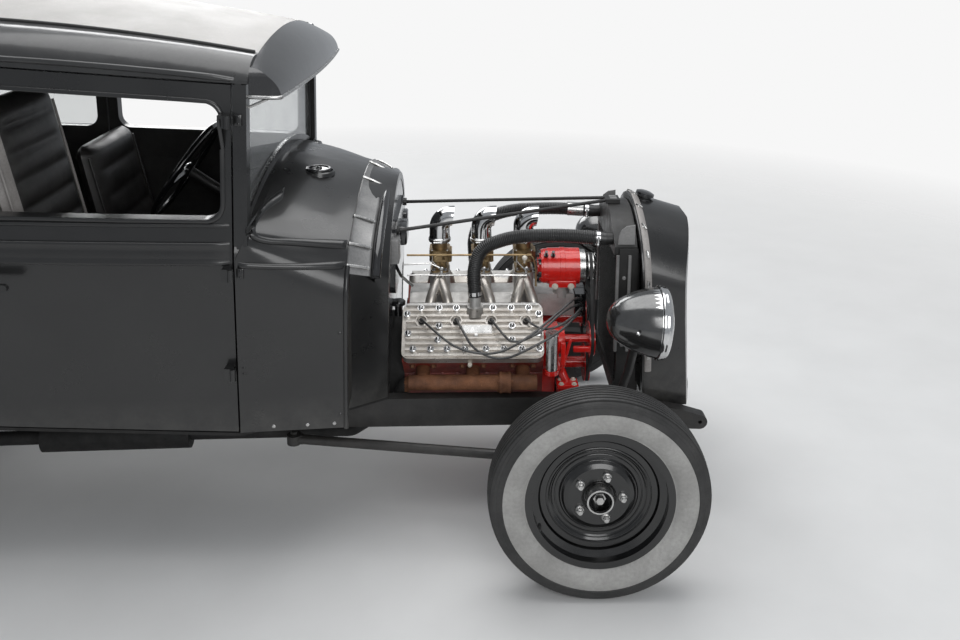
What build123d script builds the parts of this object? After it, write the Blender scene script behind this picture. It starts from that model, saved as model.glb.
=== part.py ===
from build123d import *
import os
from math import cos, radians, sin, tan

# A fenderless two-door hot rod sedan with an open side-valve V8.
# Millimetres. X points forward, Y to the car's left, Z up.
# Every piece is drawn with x = 0 at the front axle and z = 0 on the ground below it.
# Body and frame are drawn level, then tipped nose-down by the rake about the front hub.
# The finished car is moved so that its origin is on the ground, midway along and across.

os.makedirs("parts", exist_ok=True)

# Stance
wheelbase = 2629
half_track = 711
rake = 2.0
front_reach = 423
rear_reach = 3069
front_axle_x = (rear_reach - front_reach) / 2

# Tyres and wheels
front_tyre_radius = 329
front_tyre_width = 135
rear_tyre_radius = 372
rear_tyre_width = 165
rim_radius = 203
rim_flange = 17
rim_gauge = 4
lug_circle = 69.85
lug_count = 5
lug_radius = 10
lug_length = 16
drum_radius = 152
hub_radius = 40
spindle_radius = 13
spindle_clearance = 1.5
bead_share = 0.72

# Steering
kingpin_y = 640
kingpin_radius = 10
kingpin_clearance = 0.3
boss_radius = 22
boss_height = 68
ear_gap = 3
ear_thickness = 18
arm_reach = 150
tie_rod_radius = 11

# Frame
rail_height = 100
rail_width = 44
rail_top = 418
rail_rear_x = -2950
kick_up = 90
kick_front_x = -2150
kick_rear_x = -2330
rail_outer = 350
horn_outer = 300
flare_front_x = -150
flare_rear_x = -750
horn_tip_x = 398
horn_tip_z = 343
horn_tip_radius = 25
horn_bore = 6.5

# Body
wall = 42
body_floor = 428
floor_thickness = body_floor - rail_top
belt_z = 985
rear_x = -3070
shut_gap = 5
door_front_x = -1083
door_rear_x = -1884
door_top_front = 1492
door_top_rear = 1528
window_front_x = -1114
window_rear_x = -1844
window_sill = 1107
window_head_front = 1438
window_head_rear = 1466
window_corner = 48
quarter_front_x = -1930
quarter_rear_x = -2560
glass = 6
insert_front_x = -1000
insert_rear_x = -2790
insert_half = 455
insert_corner = 110
seam_low = 1400
rear_corner = 170
rear_top_corner = 260
wheel_arch_radius = 440
wheel_arch_inner = 540

# Cowl
firewall_x = -655
firewall_thickness = 12
cowl_wall = 26
cowl_rear_x = door_front_x + shut_gap
pillar_front_x = -1040

# Radiator shell, leaning back
shell_x = 215
shell_z = 360
shell_lean = -2.5
shell_height = 690
shell_front_height = 624
shell_half_width = 285
shell_side_depth = 128
shell_nose_depth = 188
shell_wall = 6
grille_inset = 34
grille_bars = 15
grille_bar = 5

# Engine, level with the ground
crank_z = 410
engine_rear_x = -612
engine_front_x = -128
bank_angle = 45
head_length = 478
head_width = 200
head_thickness = 52
deck_distance = 272
bank_width = 186
sump_depth = 185
sump_length = 280
pan_depth = 104
carb_x = (-487, -339, -190)
carb_base_z = 775
carb_height = 110
scoop_radius = 36
generator_x = -57
generator_y = -50
generator_z = 800
generator_radius = 64
generator_length = 172

# Lamps
lamp_x = 150
lamp_y = 455
lamp_z = 761
lamp_radius = 114
lamp_length = 207
lamp_tilt = 4

ground = Location((front_axle_x, 0, 0))
hub_height = Location((0, 0, front_tyre_radius))
tip = hub_height * Location((0, 0, 0), (0, rake, 0)) * hub_height.inverse()
stance = ground * tip


def save(piece, name, place):
    """Put a finished piece where it stands on the car, name it and write it."""
    placed = piece.part.moved(place)
    placed.label = name
    export_step(placed, f"parts/{name}.step")
    return placed


def across(x):
    """A plane across the car at x: its own x is the car's left, its own y is up."""
    return Plane(origin=(x, 0, 0), x_dir=(0, 1, 0), z_dir=(1, 0, 0))


def beside(y):
    """A plane along the car at y: its own x is forward, its own y is up, facing right."""
    return Plane(origin=(0, y, 0), x_dir=(1, 0, 0), z_dir=(0, -1, 0))


def level_hub(x, z):
    """A point of the ground frame, given in the level frame of the body."""
    a = radians(rake)
    dz = z - front_tyre_radius
    return x * cos(a) - dz * sin(a), front_tyre_radius + x * sin(a) + dz * cos(a)


def tipped(x, y, z):
    """A point of the level body, given in the ground frame."""
    a = radians(rake)
    dz = z - front_tyre_radius
    return x * cos(a) + dz * sin(a), y, front_tyre_radius - x * sin(a) + dz * cos(a)


# Body stations: x, half width at the sill, at the belt, at the drip rail, drip height,
# half width at the roof seam, seam height, crown height
body_stations = (
    (-1036, 600, 624, 597, 1503, 470, 1563, 1612),
    (-1750, 608, 654, 616, 1545, 480, 1629, 1694),
    (-2450, 602, 648, 610, 1541, 474, 1624, 1688),
    (rear_x, 572, 612, 572, 1492, 436, 1566, 1618),
)


def cabin(inset):
    """The closed form of the body behind the cowl, drawn in on every side by an inset."""
    with BuildPart() as form:
        for x, sill, belt, drip, drip_z, seam, seam_z, crown_z in body_stations:
            with BuildSketch(across(x)):
                with BuildLine():
                    Polyline(
                        (0, body_floor - 2 * inset),
                        (sill - inset, body_floor - 2 * inset),
                        (belt - inset, belt_z),
                        (drip - inset, drip_z - 0.4 * inset),
                    )
                    shoulder = ((drip + seam) / 2 + 22 - 0.8 * inset, (drip_z + seam_z) / 2 + 14 - 0.7 * inset)
                    ThreePointArc((drip - inset, drip_z - 0.4 * inset), shoulder, (seam - 0.5 * inset, seam_z - 0.9 * inset))
                    crown_mid = ((seam - 0.5 * inset) / 2, seam_z + 0.76 * (crown_z - seam_z) - inset)
                    ThreePointArc((seam - 0.5 * inset, seam_z - 0.9 * inset), crown_mid, (0, crown_z - inset))
                    Line((0, crown_z - inset), (0, body_floor - 2 * inset))
                make_face()
                mirror(about=Plane.YZ)
        loft()
        with BuildSketch(beside(0)) as side:
            with BuildLine():
                Polyline(
                    (-900, 200), (-900, 1900), (rear_x + 60 + inset, 1900),
                    (rear_x + 30 + inset, belt_z + 60), (rear_x + inset, body_floor), (rear_x + inset, 200), close=True,
                )
            make_face()
        extrude(amount=900, both=True, mode=Mode.INTERSECT)
        with BuildSketch(Plane.XY.offset(200)):
            with Locations((rear_x + inset + 1200, 0)):
                Rectangle(2400, 2 * (700 - inset))
        extrude(amount=1700, mode=Mode.INTERSECT)
        corners = form.edges().filter_by(lambda e: abs(e.center().X - rear_x) < 120 and abs(e.center().Y) > 380)
        upright = corners.filter_by(lambda e: e.bounding_box().size.Z > 300)
        fillet(upright, rear_corner - inset)
    return form.part


def prism(points, y_from, y_to, corner=0):
    """A side-view outline, drawn through the car from one y to another."""
    with BuildPart() as block:
        with BuildSketch(beside(y_to)) as outline:
            with BuildLine():
                Polyline(*points, close=True)
            make_face()
            if corner:
                fillet(outline.vertices(), corner)
        extrude(amount=y_to - y_from)
    return block.part


outer_form = cabin(0)
inner_form = cabin(wall)
insert_under = cabin(8)

door_outline = ((door_front_x, body_floor + shut_gap), (door_front_x, door_top_front),
                (door_rear_x, door_top_rear), (door_rear_x, body_floor + shut_gap))
opening_outline = ((cowl_rear_x, body_floor), (cowl_rear_x, door_top_front + shut_gap),
                   (door_rear_x - shut_gap, door_top_rear + shut_gap), (door_rear_x - shut_gap, body_floor))
window_outline = ((window_front_x, window_sill), (window_front_x, window_head_front),
                  (window_rear_x, window_head_rear), (window_rear_x, window_sill))
quarter_outline = ((quarter_front_x, window_sill), (quarter_front_x, window_head_rear),
                   (quarter_rear_x, window_head_rear), (quarter_rear_x, window_sill))
roof_outline = ((-1000, door_top_front + shut_gap - 4), (-1000, 1900), (rear_x - 50, 1900), (rear_x - 50, 1505),
                (door_rear_x - 400, door_top_rear + shut_gap), (door_rear_x - shut_gap, door_top_rear + shut_gap),
                (cowl_rear_x, door_top_front + shut_gap))
below_roof = ((cowl_rear_x, 300), (cowl_rear_x, door_top_front + shut_gap),
              (door_rear_x - shut_gap, door_top_rear + shut_gap), (door_rear_x - 400, door_top_rear + shut_gap),
              (rear_x - 50, 1505), (rear_x - 50, 300))
roof_space = prism(roof_outline, -900, 900)
below_roof_space = prism(below_roof, -900, 900)

# Roof shell with its drip edge, and the fabric insert let into it
with BuildPart() as insert_area:
    with BuildSketch(Plane.XY.offset(seam_low)) as area:
        with Locations(((insert_front_x + insert_rear_x) / 2, 0)):
            Rectangle(insert_front_x - insert_rear_x, 2 * insert_half)
        fillet(area.vertices().group_by(Axis.X)[0], insert_corner)
    extrude(amount=400)

with BuildPart() as roof_insert:
    add(outer_form)
    add(insert_under, mode=Mode.SUBTRACT)
    add(insert_area.part, mode=Mode.INTERSECT)
save(roof_insert, "roof_insert", stance)

with BuildPart() as roof:
    add(outer_form)
    add(inner_form, mode=Mode.SUBTRACT)
    add(roof_space, mode=Mode.INTERSECT)
    add(roof_insert.part, mode=Mode.SUBTRACT)
save(roof, "roof", stance)

# Rear body: quarter panels with their window openings, tail panel and wheel tubs
hub_level_x, hub_level_z = level_hub(-wheelbase, rear_tyre_radius)
with BuildPart() as wheel_space:
    for side in (-1, 1):
        with BuildSketch(Plane(origin=(hub_level_x, side * wheel_arch_inner, hub_level_z), z_dir=(0, side, 0))):
            Circle(wheel_arch_radius)
        extrude(amount=400)

with BuildPart() as tubs:
    for side in (-1, 1):
        tub_y = side * (wheel_arch_inner - 8)
        with BuildSketch(Plane(origin=(hub_level_x, tub_y, hub_level_z), z_dir=(0, side, 0))):
            Circle(wheel_arch_radius + 8)
        extrude(amount=60)
    with BuildSketch(Plane.XY.offset(body_floor)):
        with Locations((hub_level_x, 0)):
            Rectangle(1200, 1400)
    extrude(amount=600, mode=Mode.INTERSECT)

with BuildPart() as rear_body:
    add(outer_form)
    add(inner_form, mode=Mode.SUBTRACT)
    add(below_roof_space, mode=Mode.INTERSECT)
    add(prism(opening_outline, -900, 900), mode=Mode.SUBTRACT)
    with BuildSketch(Plane.XY.offset(200)):
        with Locations((cowl_rear_x + 400, 0)):
            Rectangle(800, 1600)
    extrude(amount=1700, mode=Mode.SUBTRACT)
    add(prism(quarter_outline, -900, 900, window_corner), mode=Mode.SUBTRACT)
    with BuildSketch(across(rear_x - 50)) as rear_window:
        with Locations((0, 1270)):
            RectangleRounded(620, 230, window_corner)
    extrude(amount=300, mode=Mode.SUBTRACT)
    add(tubs.part)
    add(wheel_space.part, mode=Mode.SUBTRACT)
save(rear_body, "rear_body", stance)

# Doors, cut out of the same body form, with their window openings and hinge barrels
hinge_x = door_front_x - 2
hinge_y = 645
hinge_radius = 9
# Hinges: height, reach of the leaf in to the door's skin
hinge_rows = ((640, 60), (948, 60), (1395, 96))
hinge_half = 18
hinge_leaf = 26
handle_z = 915
handle_x = -1800

for side, word in ((-1, "right"), (1, "left")):
    y_near, y_far = (-900, -200) if side < 0 else (200, 900)
    with BuildPart() as door:
        add(outer_form)
        add(inner_form, mode=Mode.SUBTRACT)
        add(prism(door_outline, y_near, y_far), mode=Mode.INTERSECT)
        add(prism(window_outline, y_near, y_far, window_corner), mode=Mode.SUBTRACT)
        for z, leaf in hinge_rows:
            with BuildSketch(Plane.XY.offset(z - hinge_half)):
                with Locations((hinge_x, side * hinge_y)):
                    Circle(hinge_radius)
            extrude(amount=2 * hinge_half)
            with BuildSketch(Plane.XY.offset(z - hinge_half)):
                with Locations((hinge_x - hinge_leaf / 2, side * (hinge_y - leaf / 2))):
                    Rectangle(hinge_leaf, leaf)
            extrude(amount=2 * hinge_half)
        with BuildSketch(Plane(origin=(handle_x, side * 630, handle_z), z_dir=(0, side, 0))):
            Circle(13)
        extrude(amount=75)
        with BuildSketch(Plane(origin=(handle_x + 45, side * 700, handle_z), x_dir=(1, 0, 0), z_dir=(0, side, 0))):
            SlotOverall(130, 22)
        extrude(amount=14)
    save(door, "door_" + word, stance)
    print("door", word, door.part.volume, len(door.part.solids()))

# Cowl stations: x, half width at the sill, at the side, side height, half width and height of the shoulder, top
cowl_stations = (
    (cowl_rear_x, 602, 627, 985, 560, 1078, 1172),
    (-830, 468, 505, 900, 425, 1052, 1130),
    (firewall_x, 345, 372, 810, 296, 985, 1094),
)


def cowl_form(inset, front, rear):
    """The closed form of the cowl, drawn in by an inset and cut off at two stations along the car."""
    with BuildPart() as form:
        for x, sill, side_y, side_z, shoulder_y, shoulder_z, top_z in cowl_stations:
            with BuildSketch(across(x)):
                with BuildLine():
                    Polyline((0, body_floor - 2 * inset), (sill - inset, body_floor - 2 * inset), (side_y - inset, side_z))
                    TangentArc(
                        (side_y - inset, side_z),
                        (shoulder_y - 0.6 * inset, shoulder_z - 0.8 * inset),
                        tangent=(side_y - sill, side_z - body_floor),
                    )
                    mid = (0.52 * shoulder_y, shoulder_z + 0.74 * (top_z - shoulder_z) - inset)
                    ThreePointArc((shoulder_y - 0.6 * inset, shoulder_z - 0.8 * inset), mid, (0, top_z - inset))
                    Line((0, top_z - inset), (0, body_floor - 2 * inset))
                make_face()
                mirror(about=Plane.YZ)
        loft()
        with BuildSketch(Plane.XY):
            with Locations(((front + rear) / 2, 0)):
                Rectangle(front - rear, 1600)
        extrude(amount=1800, mode=Mode.INTERSECT)
    return form.part


cowl_outer = cowl_form(0, firewall_x, cowl_rear_x)
cowl_inner = cowl_form(cowl_wall, firewall_x, cowl_rear_x)

# Windshield opening, and the ring around it
glass_front_x = -1062
header_z = 1462

pillar_side = ((cowl_rear_x, 1030), (cowl_rear_x, door_top_front + 1), (pillar_front_x, door_top_front + 1),
               (pillar_front_x, 1030))
with BuildPart() as windshield_ring:
    with BuildSketch(across(glass_front_x - 9)):
        with Locations((0, 1270)):
            Rectangle(1240, 500)
        with BuildLine():
            Polyline((-530, 1108), (-518, header_z), (518, header_z), (530, 1108))
            ThreePointArc((530, 1108), (0, 1196), (-530, 1108))
        make_face(mode=Mode.SUBTRACT)
    extrude(amount=18)
    add(outer_form, mode=Mode.INTERSECT)
    add(cowl_inner, mode=Mode.SUBTRACT)
with BuildPart() as cowl:
    add(outer_form)
    add(inner_form, mode=Mode.SUBTRACT)
    add(prism(pillar_side, -900, 900), mode=Mode.INTERSECT)
    with BuildSketch(Plane.XY.offset(1300)):
        with Locations((cowl_rear_x, 0)):
            Rectangle(400, 2 * 500)
    extrude(amount=400, mode=Mode.SUBTRACT)
    add(cowl_outer)
    add(cowl_inner, mode=Mode.SUBTRACT)
    add(windshield_ring.part)
    add(roof.part, mode=Mode.SUBTRACT)
save(cowl, "cowl", stance)

# Floor pan, which follows the sills and rests on the rails, with a tunnel over the gearbox
# and a step up over the rear axle
tunnel_gauge = 4
lever_hole_x = -975
lever_hole_radius = 28
tunnel_end_x = -1170
step_x = kick_front_x


def tunnel(inset):
    """The arched form of the gearbox tunnel, drawn in by an inset."""
    with BuildPart() as form:
        with BuildSketch(across(firewall_x + 20)):
            with Locations((0, 380)):
                Circle(238 - inset)
        with BuildSketch(across(tunnel_end_x)):
            with Locations((0, 350)):
                Circle(128 - inset)
        loft()
        with BuildSketch(Plane.XY.offset(rail_top)):
            with Locations((-900, 0)):
                Rectangle(900, 700)
        extrude(amount=400, mode=Mode.INTERSECT)
    return form.part


tunnel_outer = tunnel(0)
tunnel_inner = tunnel(tunnel_gauge)
with BuildPart() as floor:
    with BuildSketch(Plane.XY.offset(rail_top)):
        with BuildLine():
            Polyline(
                (firewall_x, 0), (firewall_x, 343), (-830, 466), (cowl_rear_x, 600), (-1750, 606), (step_x, 602), (step_x, 0),
            )
            Line((step_x, 0), (firewall_x, 0))
        make_face()
        mirror(about=Plane.XZ)
    extrude(amount=floor_thickness)
    add(tunnel_outer)
    add(tunnel_inner, mode=Mode.SUBTRACT)
    with BuildSketch(beside(-wheel_arch_inner + 8)):
        with BuildLine():
            Polyline(
                (step_x + floor_thickness, rail_top), (step_x + floor_thickness, body_floor + kick_up),
                (rear_x + wall + 8, body_floor + kick_up), (rear_x + wall + 8, rail_top + kick_up),
                (step_x, rail_top + kick_up),
                (step_x, rail_top), close=True,
            )
        make_face()
    extrude(amount=-2 * (wheel_arch_inner - 8))
    with BuildSketch(Plane.XY.offset(rail_top)):
        with Locations((firewall_x + 100, 0)):
            Rectangle(200, 900)
    extrude(amount=300, mode=Mode.SUBTRACT)
    with BuildSketch(Plane(origin=(hub_level_x, -900, hub_level_z), z_dir=(0, 1, 0))):
        Circle(wheel_arch_radius + 8)
    extrude(amount=900 - wheel_arch_inner + 8, mode=Mode.SUBTRACT)
    with BuildSketch(Plane(origin=(hub_level_x, 900, hub_level_z), z_dir=(0, -1, 0))):
        Circle(wheel_arch_radius + 8)
    extrude(amount=900 - wheel_arch_inner + 8, mode=Mode.SUBTRACT)
    with BuildSketch(Plane.XY.offset(rail_top)):
        with Locations((lever_hole_x, 0)):
            Circle(lever_hole_radius)
    extrude(amount=300, mode=Mode.SUBTRACT)
    add(rear_body.part, mode=Mode.SUBTRACT)
save(floor, "floor", stance)

# Firewall, which closes the cowl's front above the tunnel
with BuildPart() as firewall:
    add(cowl_form(cowl_wall + 0.5, firewall_x - 2, firewall_x - 2 - firewall_thickness))
    with BuildSketch(Plane.XY.offset(0)):
        with Locations((firewall_x, 0)):
            Rectangle(200, 1000)
    extrude(amount=body_floor, mode=Mode.SUBTRACT)
    with BuildSketch(across(firewall_x - 20)):
        with Locations((0, 850)):
            RectangleRounded(420, 260, 60)
    extrude(amount=30)
    add(tunnel_outer, mode=Mode.SUBTRACT)
    with BuildSketch(across(firewall_x - 60)):
        with Locations((0, 380)):
            Circle(238)
    extrude(amount=120, mode=Mode.SUBTRACT)
save(firewall, "firewall", stance)

# Fuel cap on the cowl top
cap_x = -910
cap_y = -150
cap_z = 1137
cap_radius = 41
with BuildPart() as fuel_cap:
    with BuildSketch(Plane.XY.offset(cap_z - 25)):
        with Locations((cap_x, cap_y)):
            Circle(cap_radius - 7)
    extrude(amount=25)
    with BuildSketch(Plane.XY.offset(cap_z)):
        with Locations((cap_x, cap_y)):
            Circle(cap_radius)
    extrude(amount=12)
    fillet(fuel_cap.faces().sort_by(Axis.Z)[-1].edges(), 5)
    add(cowl_outer, mode=Mode.SUBTRACT)
save(fuel_cap, "fuel_cap", stance)

# The fixed panes: windshield, quarter windows and rear window
with BuildPart() as fixed_glass:
    with BuildSketch(across(glass_front_x - glass / 2)):
        with BuildLine():
            Polyline((-530, 1108), (-518, header_z), (518, header_z), (530, 1108))
            ThreePointArc((530, 1108), (0, 1196), (-530, 1108))
        make_face()
    extrude(amount=glass)
    with BuildPart(mode=Mode.PRIVATE) as pane_band:
        add(cabin(wall / 2 - glass / 2))
        add(cabin(wall / 2 + glass / 2), mode=Mode.SUBTRACT)
        add(prism(quarter_outline, -900, 900, window_corner), mode=Mode.INTERSECT)
    add(pane_band.part)
    with BuildPart(mode=Mode.PRIVATE) as rear_pane:
        add(cabin(wall / 2 - glass / 2))
        add(cabin(wall / 2 + glass / 2), mode=Mode.SUBTRACT)
        with BuildSketch(across(rear_x - 50)):
            with Locations((0, 1270)):
                RectangleRounded(620, 230, window_corner)
        extrude(amount=300, mode=Mode.INTERSECT)
    add(rear_pane.part)
save(fixed_glass, "fixed_glass", stance)

# Visor over the windshield: a curved sheet that carries the roof line on, closed at its ends
visor_root_x = -1036
visor_gauge = 4
visor_low = 1452
visor_half = 588
visor_corner = 70
# Visor sections: y, height at the root, x and height of the front lip
visor_sections = (
    (-600, 1530, -948, 1462),
    (0, 1612, -926, 1466),
    (600, 1530, -948, 1462),
)


def visor_form(inset):
    """The closed form under the visor's sheet, drawn in by an inset."""
    with BuildPart() as form:
        for y, root_z, lip_x, lip_z in visor_sections:
            with BuildSketch(beside(y)):
                with BuildLine():
                    root = (visor_root_x - inset, root_z - inset)
                    lip = (lip_x - inset, lip_z - inset)
                    bulge = (0.3 * root[0] + 0.7 * lip[0] + 7, 0.42 * root[1] + 0.58 * lip[1] + 12)
                    ThreePointArc(root, bulge, lip)
                    Polyline(lip, (lip[0], visor_low - 3 * inset), (root[0], visor_low - 3 * inset), root)
                make_face()
        loft()
        with BuildSketch(across(visor_root_x - inset)):
            with BuildLine():
                half = visor_half + 10 - inset
                Polyline((0, visor_low - 3 * inset), (half, visor_low - 3 * inset), (half, 1500))
                ThreePointArc((half, 1500), (558 - 0.8 * inset, 1546 - 0.7 * inset), (470, 1565 - inset))
                Polyline((470, 1565 - inset), (470, 1700), (0, 1700), (0, visor_low - 3 * inset))
            make_face()
            mirror(about=Plane.YZ)
        extrude(amount=200, mode=Mode.INTERSECT)
        with BuildSketch(Plane.XY.offset(visor_low - 60)) as plan:
            with Locations((visor_root_x - 100 - 0.5 * inset + 61 - inset / 2, 0)):
                Rectangle(322 - inset, 2 * (visor_half - inset))
            fillet(plan.vertices().group_by(Axis.X)[-1], visor_corner - inset)
        extrude(amount=300, mode=Mode.INTERSECT)
    return form.part


with BuildPart() as visor:
    add(visor_form(0))
    add(visor_form(visor_gauge), mode=Mode.SUBTRACT)
save(visor, "visor", stance)

# Dashboard with the steering column
column_y = 285
column_low = (-760, column_y, 560)
column_high = (-1480, column_y, 1020)
with BuildPart() as dashboard:
    with BuildSketch(beside(-520)):
        with BuildLine():
            Polyline(
                (cowl_rear_x - 2, 1078), (cowl_rear_x + 70, 1090), (cowl_rear_x + 70, 1060),
                (cowl_rear_x + 30, 1055), (cowl_rear_x + 14, 950), (cowl_rear_x - 2, 950), close=True,
            )
        make_face()
    extrude(amount=-1040)
    add(cowl_inner, mode=Mode.INTERSECT)
save(dashboard, "dashboard", stance)

# Frame: two boxed side rails that draw in and curve down to the horns, tied by cross-members
with BuildPart() as rail_plan:
    with BuildSketch(Plane.XY):
        with BuildLine():
            Polyline(
                (500, horn_outer), (flare_front_x, horn_outer), (flare_rear_x, rail_outer), (rail_rear_x, rail_outer),
                (rail_rear_x, rail_outer - rail_width), (flare_rear_x, rail_outer - rail_width),
                (flare_front_x, horn_outer - rail_width), (500, horn_outer - rail_width), close=True,
            )
        make_face()
        mirror(about=Plane.XZ)
    extrude(amount=600)

# Cross-members: x, length along the car, half width, underside, top
cross_members = (
    (-54, 50, 270, 344, 384),
    (-2060, 70, 320, 350, 410),
    (-2864, 84, 320, 446, 500),
)
with BuildPart() as frame:
    with BuildSketch(beside(-400)):
        with BuildLine():
            low = rail_top - rail_height
            Polyline(
                (rail_rear_x, low + kick_up), (rail_rear_x, rail_top + kick_up), (kick_rear_x, rail_top + kick_up),
                (kick_front_x, rail_top), (-60, rail_top),
            )
            TangentArc((-60, rail_top), (horn_tip_x - 60, horn_tip_z + 42), tangent=(1, 0))
            Line((horn_tip_x - 60, horn_tip_z + 42), (horn_tip_x + 2, horn_tip_z + horn_tip_radius))
            ThreePointArc(
                (horn_tip_x + 2, horn_tip_z + horn_tip_radius), (horn_tip_x + horn_tip_radius, horn_tip_z),
                (horn_tip_x, horn_tip_z - horn_tip_radius),
            )
            Polyline(
                (horn_tip_x, horn_tip_z - horn_tip_radius), (150, low), (kick_front_x + 30, low),
                (kick_rear_x + 30, low + kick_up), (rail_rear_x, low + kick_up),
            )
        make_face()
    extrude(amount=-800)
    add(rail_plan.part, mode=Mode.INTERSECT)
    for x, length, half, under, top in cross_members:
        with BuildSketch(Plane.XY.offset(under)):
            with Locations((x, 0)):
                Rectangle(length, 2 * half)
        extrude(amount=top - under)
    with BuildSketch(across(-1210)):
        with BuildLine():
            Polyline((0, 236), (120, 246), (320, 322), (320, 392), (290, 380), (110, 288), (0, 276))
            Line((0, 276), (0, 236))
        make_face()
        mirror(about=Plane.YZ)
    extrude(amount=60)
    with BuildSketch(beside(-500)):
        with Locations((horn_tip_x, horn_tip_z)):
            Circle(horn_bore)
    extrude(amount=-1000, mode=Mode.SUBTRACT)
save(frame, "frame", stance)

# Wheels and tyres, turned about their own axle, outer side towards +Y
def tyre_form(radius, width, rim):
    """A tyre of plain section, bulging past the rim that it sits on."""
    half = width / 2
    bead = half * bead_share
    flank = (radius - rim_radius)
    with BuildPart() as tyre:
        with BuildSketch(Plane.YZ):
            with BuildLine():
                Polyline(
                    (-bead, rim_radius), (bead, rim_radius), (bead, rim_radius + rim_flange), (half * 0.94, rim_radius + 0.3 * flank),
                    (half, rim_radius + 0.55 * flank), (half * 0.8, radius - 9), (0, radius), (-half * 0.8, radius - 9),
                    (-half, rim_radius + 0.55 * flank), (-half * 0.94, rim_radius + 0.3 * flank), (-bead, rim_radius + rim_flange),
                    close=True,
                )
            make_face()
        revolve(axis=Axis.Y)
        add(rim, mode=Mode.SUBTRACT)
    return tyre.part


def wheel_form(width):
    """A steel disc wheel with its rim, stepped disc, brake drum, hub and lug nuts."""
    half = bead_share * width / 2
    with BuildPart() as wheel:
        with BuildSketch(Plane.YZ):
            with BuildLine():
                Polyline(
                    (-half - rim_gauge, rim_radius + rim_flange), (-half, rim_radius + rim_flange), (-half, rim_radius),
                    (-half * 0.55, rim_radius), (-half * 0.4, rim_radius - 20), (half * 0.4, rim_radius - 20),
                    (half * 0.55, rim_radius), (half, rim_radius), (half, rim_radius + rim_flange),
                    (half + rim_gauge, rim_radius + rim_flange), (half + rim_gauge, rim_radius - rim_gauge),
                    (half * 0.55, rim_radius - rim_gauge), (half * 0.4, rim_radius - 20 - rim_gauge),
                    (-half * 0.4, rim_radius - 20 - rim_gauge), (-half * 0.55, rim_radius - rim_gauge),
                    (-half - rim_gauge, rim_radius - rim_gauge), close=True,
                )
            make_face()
        revolve(axis=Axis.Y)
        with BuildSketch(Plane.YZ):
            with BuildLine():
                Polyline(
                    (8, rim_radius - 21), (14, rim_radius - 30), (14, 150), (4, 138), (4, 118), (16, 104), (22, 92),
                    (22, 52), (16, 44), (10, 44), (10, 52), (10, 90), (6, 100), (-4, 114), (-4, 140), (2, 152),
                    (2, rim_radius - 30), (0, rim_radius - 21), close=True,
                )
            make_face()
        revolve(axis=Axis.Y)
        with BuildSketch(Plane.YZ):
            with BuildLine():
                Polyline(
                    (12, 10), (12, 100), (-2, 104), (-8, drum_radius - 30), (-12, drum_radius - 4), (-18, drum_radius),
                    (-28, drum_radius), (-28, drum_radius - 8), (-20, drum_radius - 8), (-20, 30), (-28, 30), (-28, 10),
                    close=True,
                )
            make_face()
        revolve(axis=Axis.Y)
        with BuildSketch(Plane.XZ.offset(-10)):
            Circle(hub_radius)
            Circle(hub_radius - 6, mode=Mode.SUBTRACT)
        extrude(amount=-42)
        with BuildSketch(Plane.XZ.offset(-20)):
            with PolarLocations(lug_circle, lug_count, start_angle=36):
                RegularPolygon(lug_radius, 6)
        extrude(amount=-lug_length)
        with BuildSketch(Plane.XZ.offset(60)):
            Circle(spindle_radius + spindle_clearance)
        extrude(amount=-140, mode=Mode.SUBTRACT)
    return wheel.part


front_wheel = wheel_form(front_tyre_width)
rear_wheel = wheel_form(rear_tyre_width)
front_tyre = tyre_form(front_tyre_radius, front_tyre_width, front_wheel)
rear_tyre = tyre_form(rear_tyre_radius, rear_tyre_width, rear_wheel)
corners = (
    ("front_right", 0, -1, front_tyre, front_wheel, front_tyre_radius),
    ("front_left", 0, 1, front_tyre, front_wheel, front_tyre_radius),
    ("rear_right", -wheelbase, -1, rear_tyre, rear_wheel, rear_tyre_radius),
    ("rear_left", -wheelbase, 1, rear_tyre, rear_wheel, rear_tyre_radius),
)
for word, x, side, tyre_part, wheel_part, radius in corners:
    turn = Location((x, side * half_track, radius), (0, 0, 0 if side > 0 else 180))
    for kind, form in (("tyre_", tyre_part), ("wheel_", wheel_part)):
        placed = form.moved(ground * turn)
        placed.label = kind + word
        export_step(placed, f"parts/{kind}{word}.step")

# Dropped front axle with a bored boss at each end, and the knuckles on their kingpins
axle_drop = 62
beam = 50
with BuildPart() as front_axle:
    with BuildSketch(Plane.YZ.offset(-beam / 2)) as beam_front:
        with BuildLine():
            hub = front_tyre_radius
            Polyline(
                (0, hub - axle_drop - 32), (430, hub - axle_drop - 32), (560, hub - 34), (kingpin_y, hub - boss_height / 2),
                (kingpin_y, hub + boss_height / 2), (560, hub + 24), (430, hub - axle_drop + 32), (0, hub - axle_drop + 32),
                close=True,
            )
        make_face()
        mirror(about=Plane.YZ)
    extrude(amount=beam)
    for side in (-1, 1):
        with BuildSketch(Plane.XY.offset(hub - boss_height / 2)):
            with Locations((0, side * kingpin_y)):
                Circle(boss_radius - 3)
        extrude(amount=boss_height)
        with BuildSketch(Plane.XY.offset(hub - 200)):
            with Locations((0, side * kingpin_y)):
                Circle(kingpin_radius + kingpin_clearance)
        extrude(amount=400, mode=Mode.SUBTRACT)
save(front_axle, "front_axle", ground)

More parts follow.
